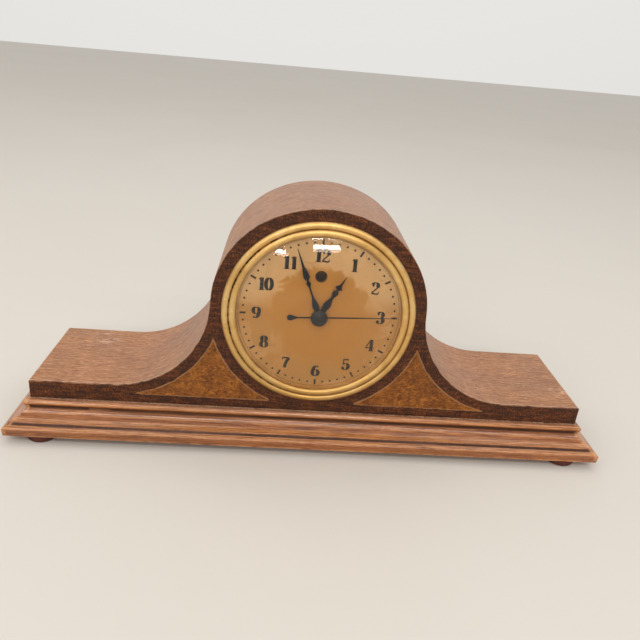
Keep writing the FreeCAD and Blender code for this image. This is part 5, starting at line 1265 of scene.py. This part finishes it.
def front_border(name, inset):
    """The closed border of a piece's front face as a mesh of edges, moved inwards."""
    form = measured_form(name)
    front = min(vert.co.y for vert in form.verts)
    flat = [face for face in form.faces if all(abs(vert.co.y - front) < AT_FRONT for vert in face.verts)]
    rim = [edge for edge in form.edges if sum(face in flat for face in edge.link_faces) == 1]
    middle = sum((edge.verts[0].co for edge in rim), Vector()) / len(rim)
    vert = rim[0].verts[0]
    path, left = [], set(rim)
    while left:
        edge = next((item for item in vert.link_edges if item in left), None)
        if edge is None:
            break
        left.discard(edge)
        vert = edge.other_vert(vert)
        path.append(vert.co.copy())
    moved = []
    for number, point in enumerate(path):
        before, after = path[number - 1], path[(number + 1) % len(path)]
        first = (point - before).normalized()
        second = (after - point).normalized()
        side = Vector((0, 1, 0)).cross(first + second).normalized()
        if side.dot(middle - point) < 0:
            side = -side
        reach = inset / max(math.cos(first.angle(second) / 2), MITRE_LIMIT)
        moved.append(point + side * reach)
    form.free()
    mesh = bpy.data.meshes.new(name + "_border")
    mesh.from_pydata(moved, [(number, (number + 1) % len(moved)) for number in range(len(moved))], [])
    return mesh


# %% Pale wood for the stringing
own, shader = new_finish("stringing", Coat_Weight=0.15, Coat_Roughness=0.25)
grain = use_group("wood_grain", Vector=own, Along=300.0, Across=1500.0, Seed=41.0)
pale = ramp(grain["Figure"], [(0.3, "#764a20"), (0.55, "#936632"), (0.75, "#ac8149")])
connect(shader, Base_Color=pale, Roughness=spread(grain["Figure"], 0.3, 0.7, 0.38, 0.52))
print("stringing:", len(own.id_data.nodes), "nodes")

# %% Grow the stringing
LINE_WIDTH, LINE_RISE = 0.55 * MM, 0.05 * MM
tree, given, result = new_tree("stringing_line", [
    ("Border", "Geometry", None), ("Width", "Float", LINE_WIDTH), ("Rise", "Float", LINE_RISE),
])
path = follow("GeometryNodeMeshToCurve", {0: given["Border"]})
level = follow("GeometryNodeSetCurveNormal", {0: path}, mode="Z_UP")
strip = follow("GeometryNodeCurvePrimitiveQuadrilateral", {"Width": given["Rise"], "Height": given["Width"]})
swept = follow("GeometryNodeCurveToMesh", {"Curve": level, "Profile Curve": strip})
connect(result, Geometry=dressed(swept, "stringing"))
for side in ("left", "right"):
    border = front_border("inlay_" + side, LINE_WIDTH / 2)
    line = grow("stringing_" + side, tree, source=border, Width=LINE_WIDTH)
    extent = [round(value / MM, 2) for value in line.dimensions]
    print(line.name, len(line.data.polygons), "faces,", extent, "mm")

# %% [markdown]
# ## Floor
# A wide pale sheet carries the clock and takes its shadow. One flat face with a faint mottle is enough,
# because the eye should stay on the clock.

# %% Lay the floor
FLOOR_HALF = 6.0
own, shader = new_finish("floor_sheet", Specular_IOR_Level=0.2)
tone = use_group("patina", Vector=own, Cloud_Scale=2.0, Grain_Scale=500.0)
sheet = mixed(tone["Clouds"], colour("#d2ccc4"), colour("#d9d4cd"))
connect(shader, Base_Color=sheet, Roughness=spread(tone["Grain"], 0.0, 1.0, 0.75, 0.85))

floor_mesh = bpy.data.meshes.new("floor")
corners = [(x * FLOOR_HALF, y * FLOOR_HALF, 0) for x, y in ((-1, -1), (1, -1), (1, 1), (-1, 1))]
floor_mesh.from_pydata(corners, [], [(0, 1, 2, 3)])
floor_mesh.materials.append(finishes["floor_sheet"])
floor = add_piece("floor", floor_mesh)
print("floor:", FLOOR_HALF * 2, "m wide")
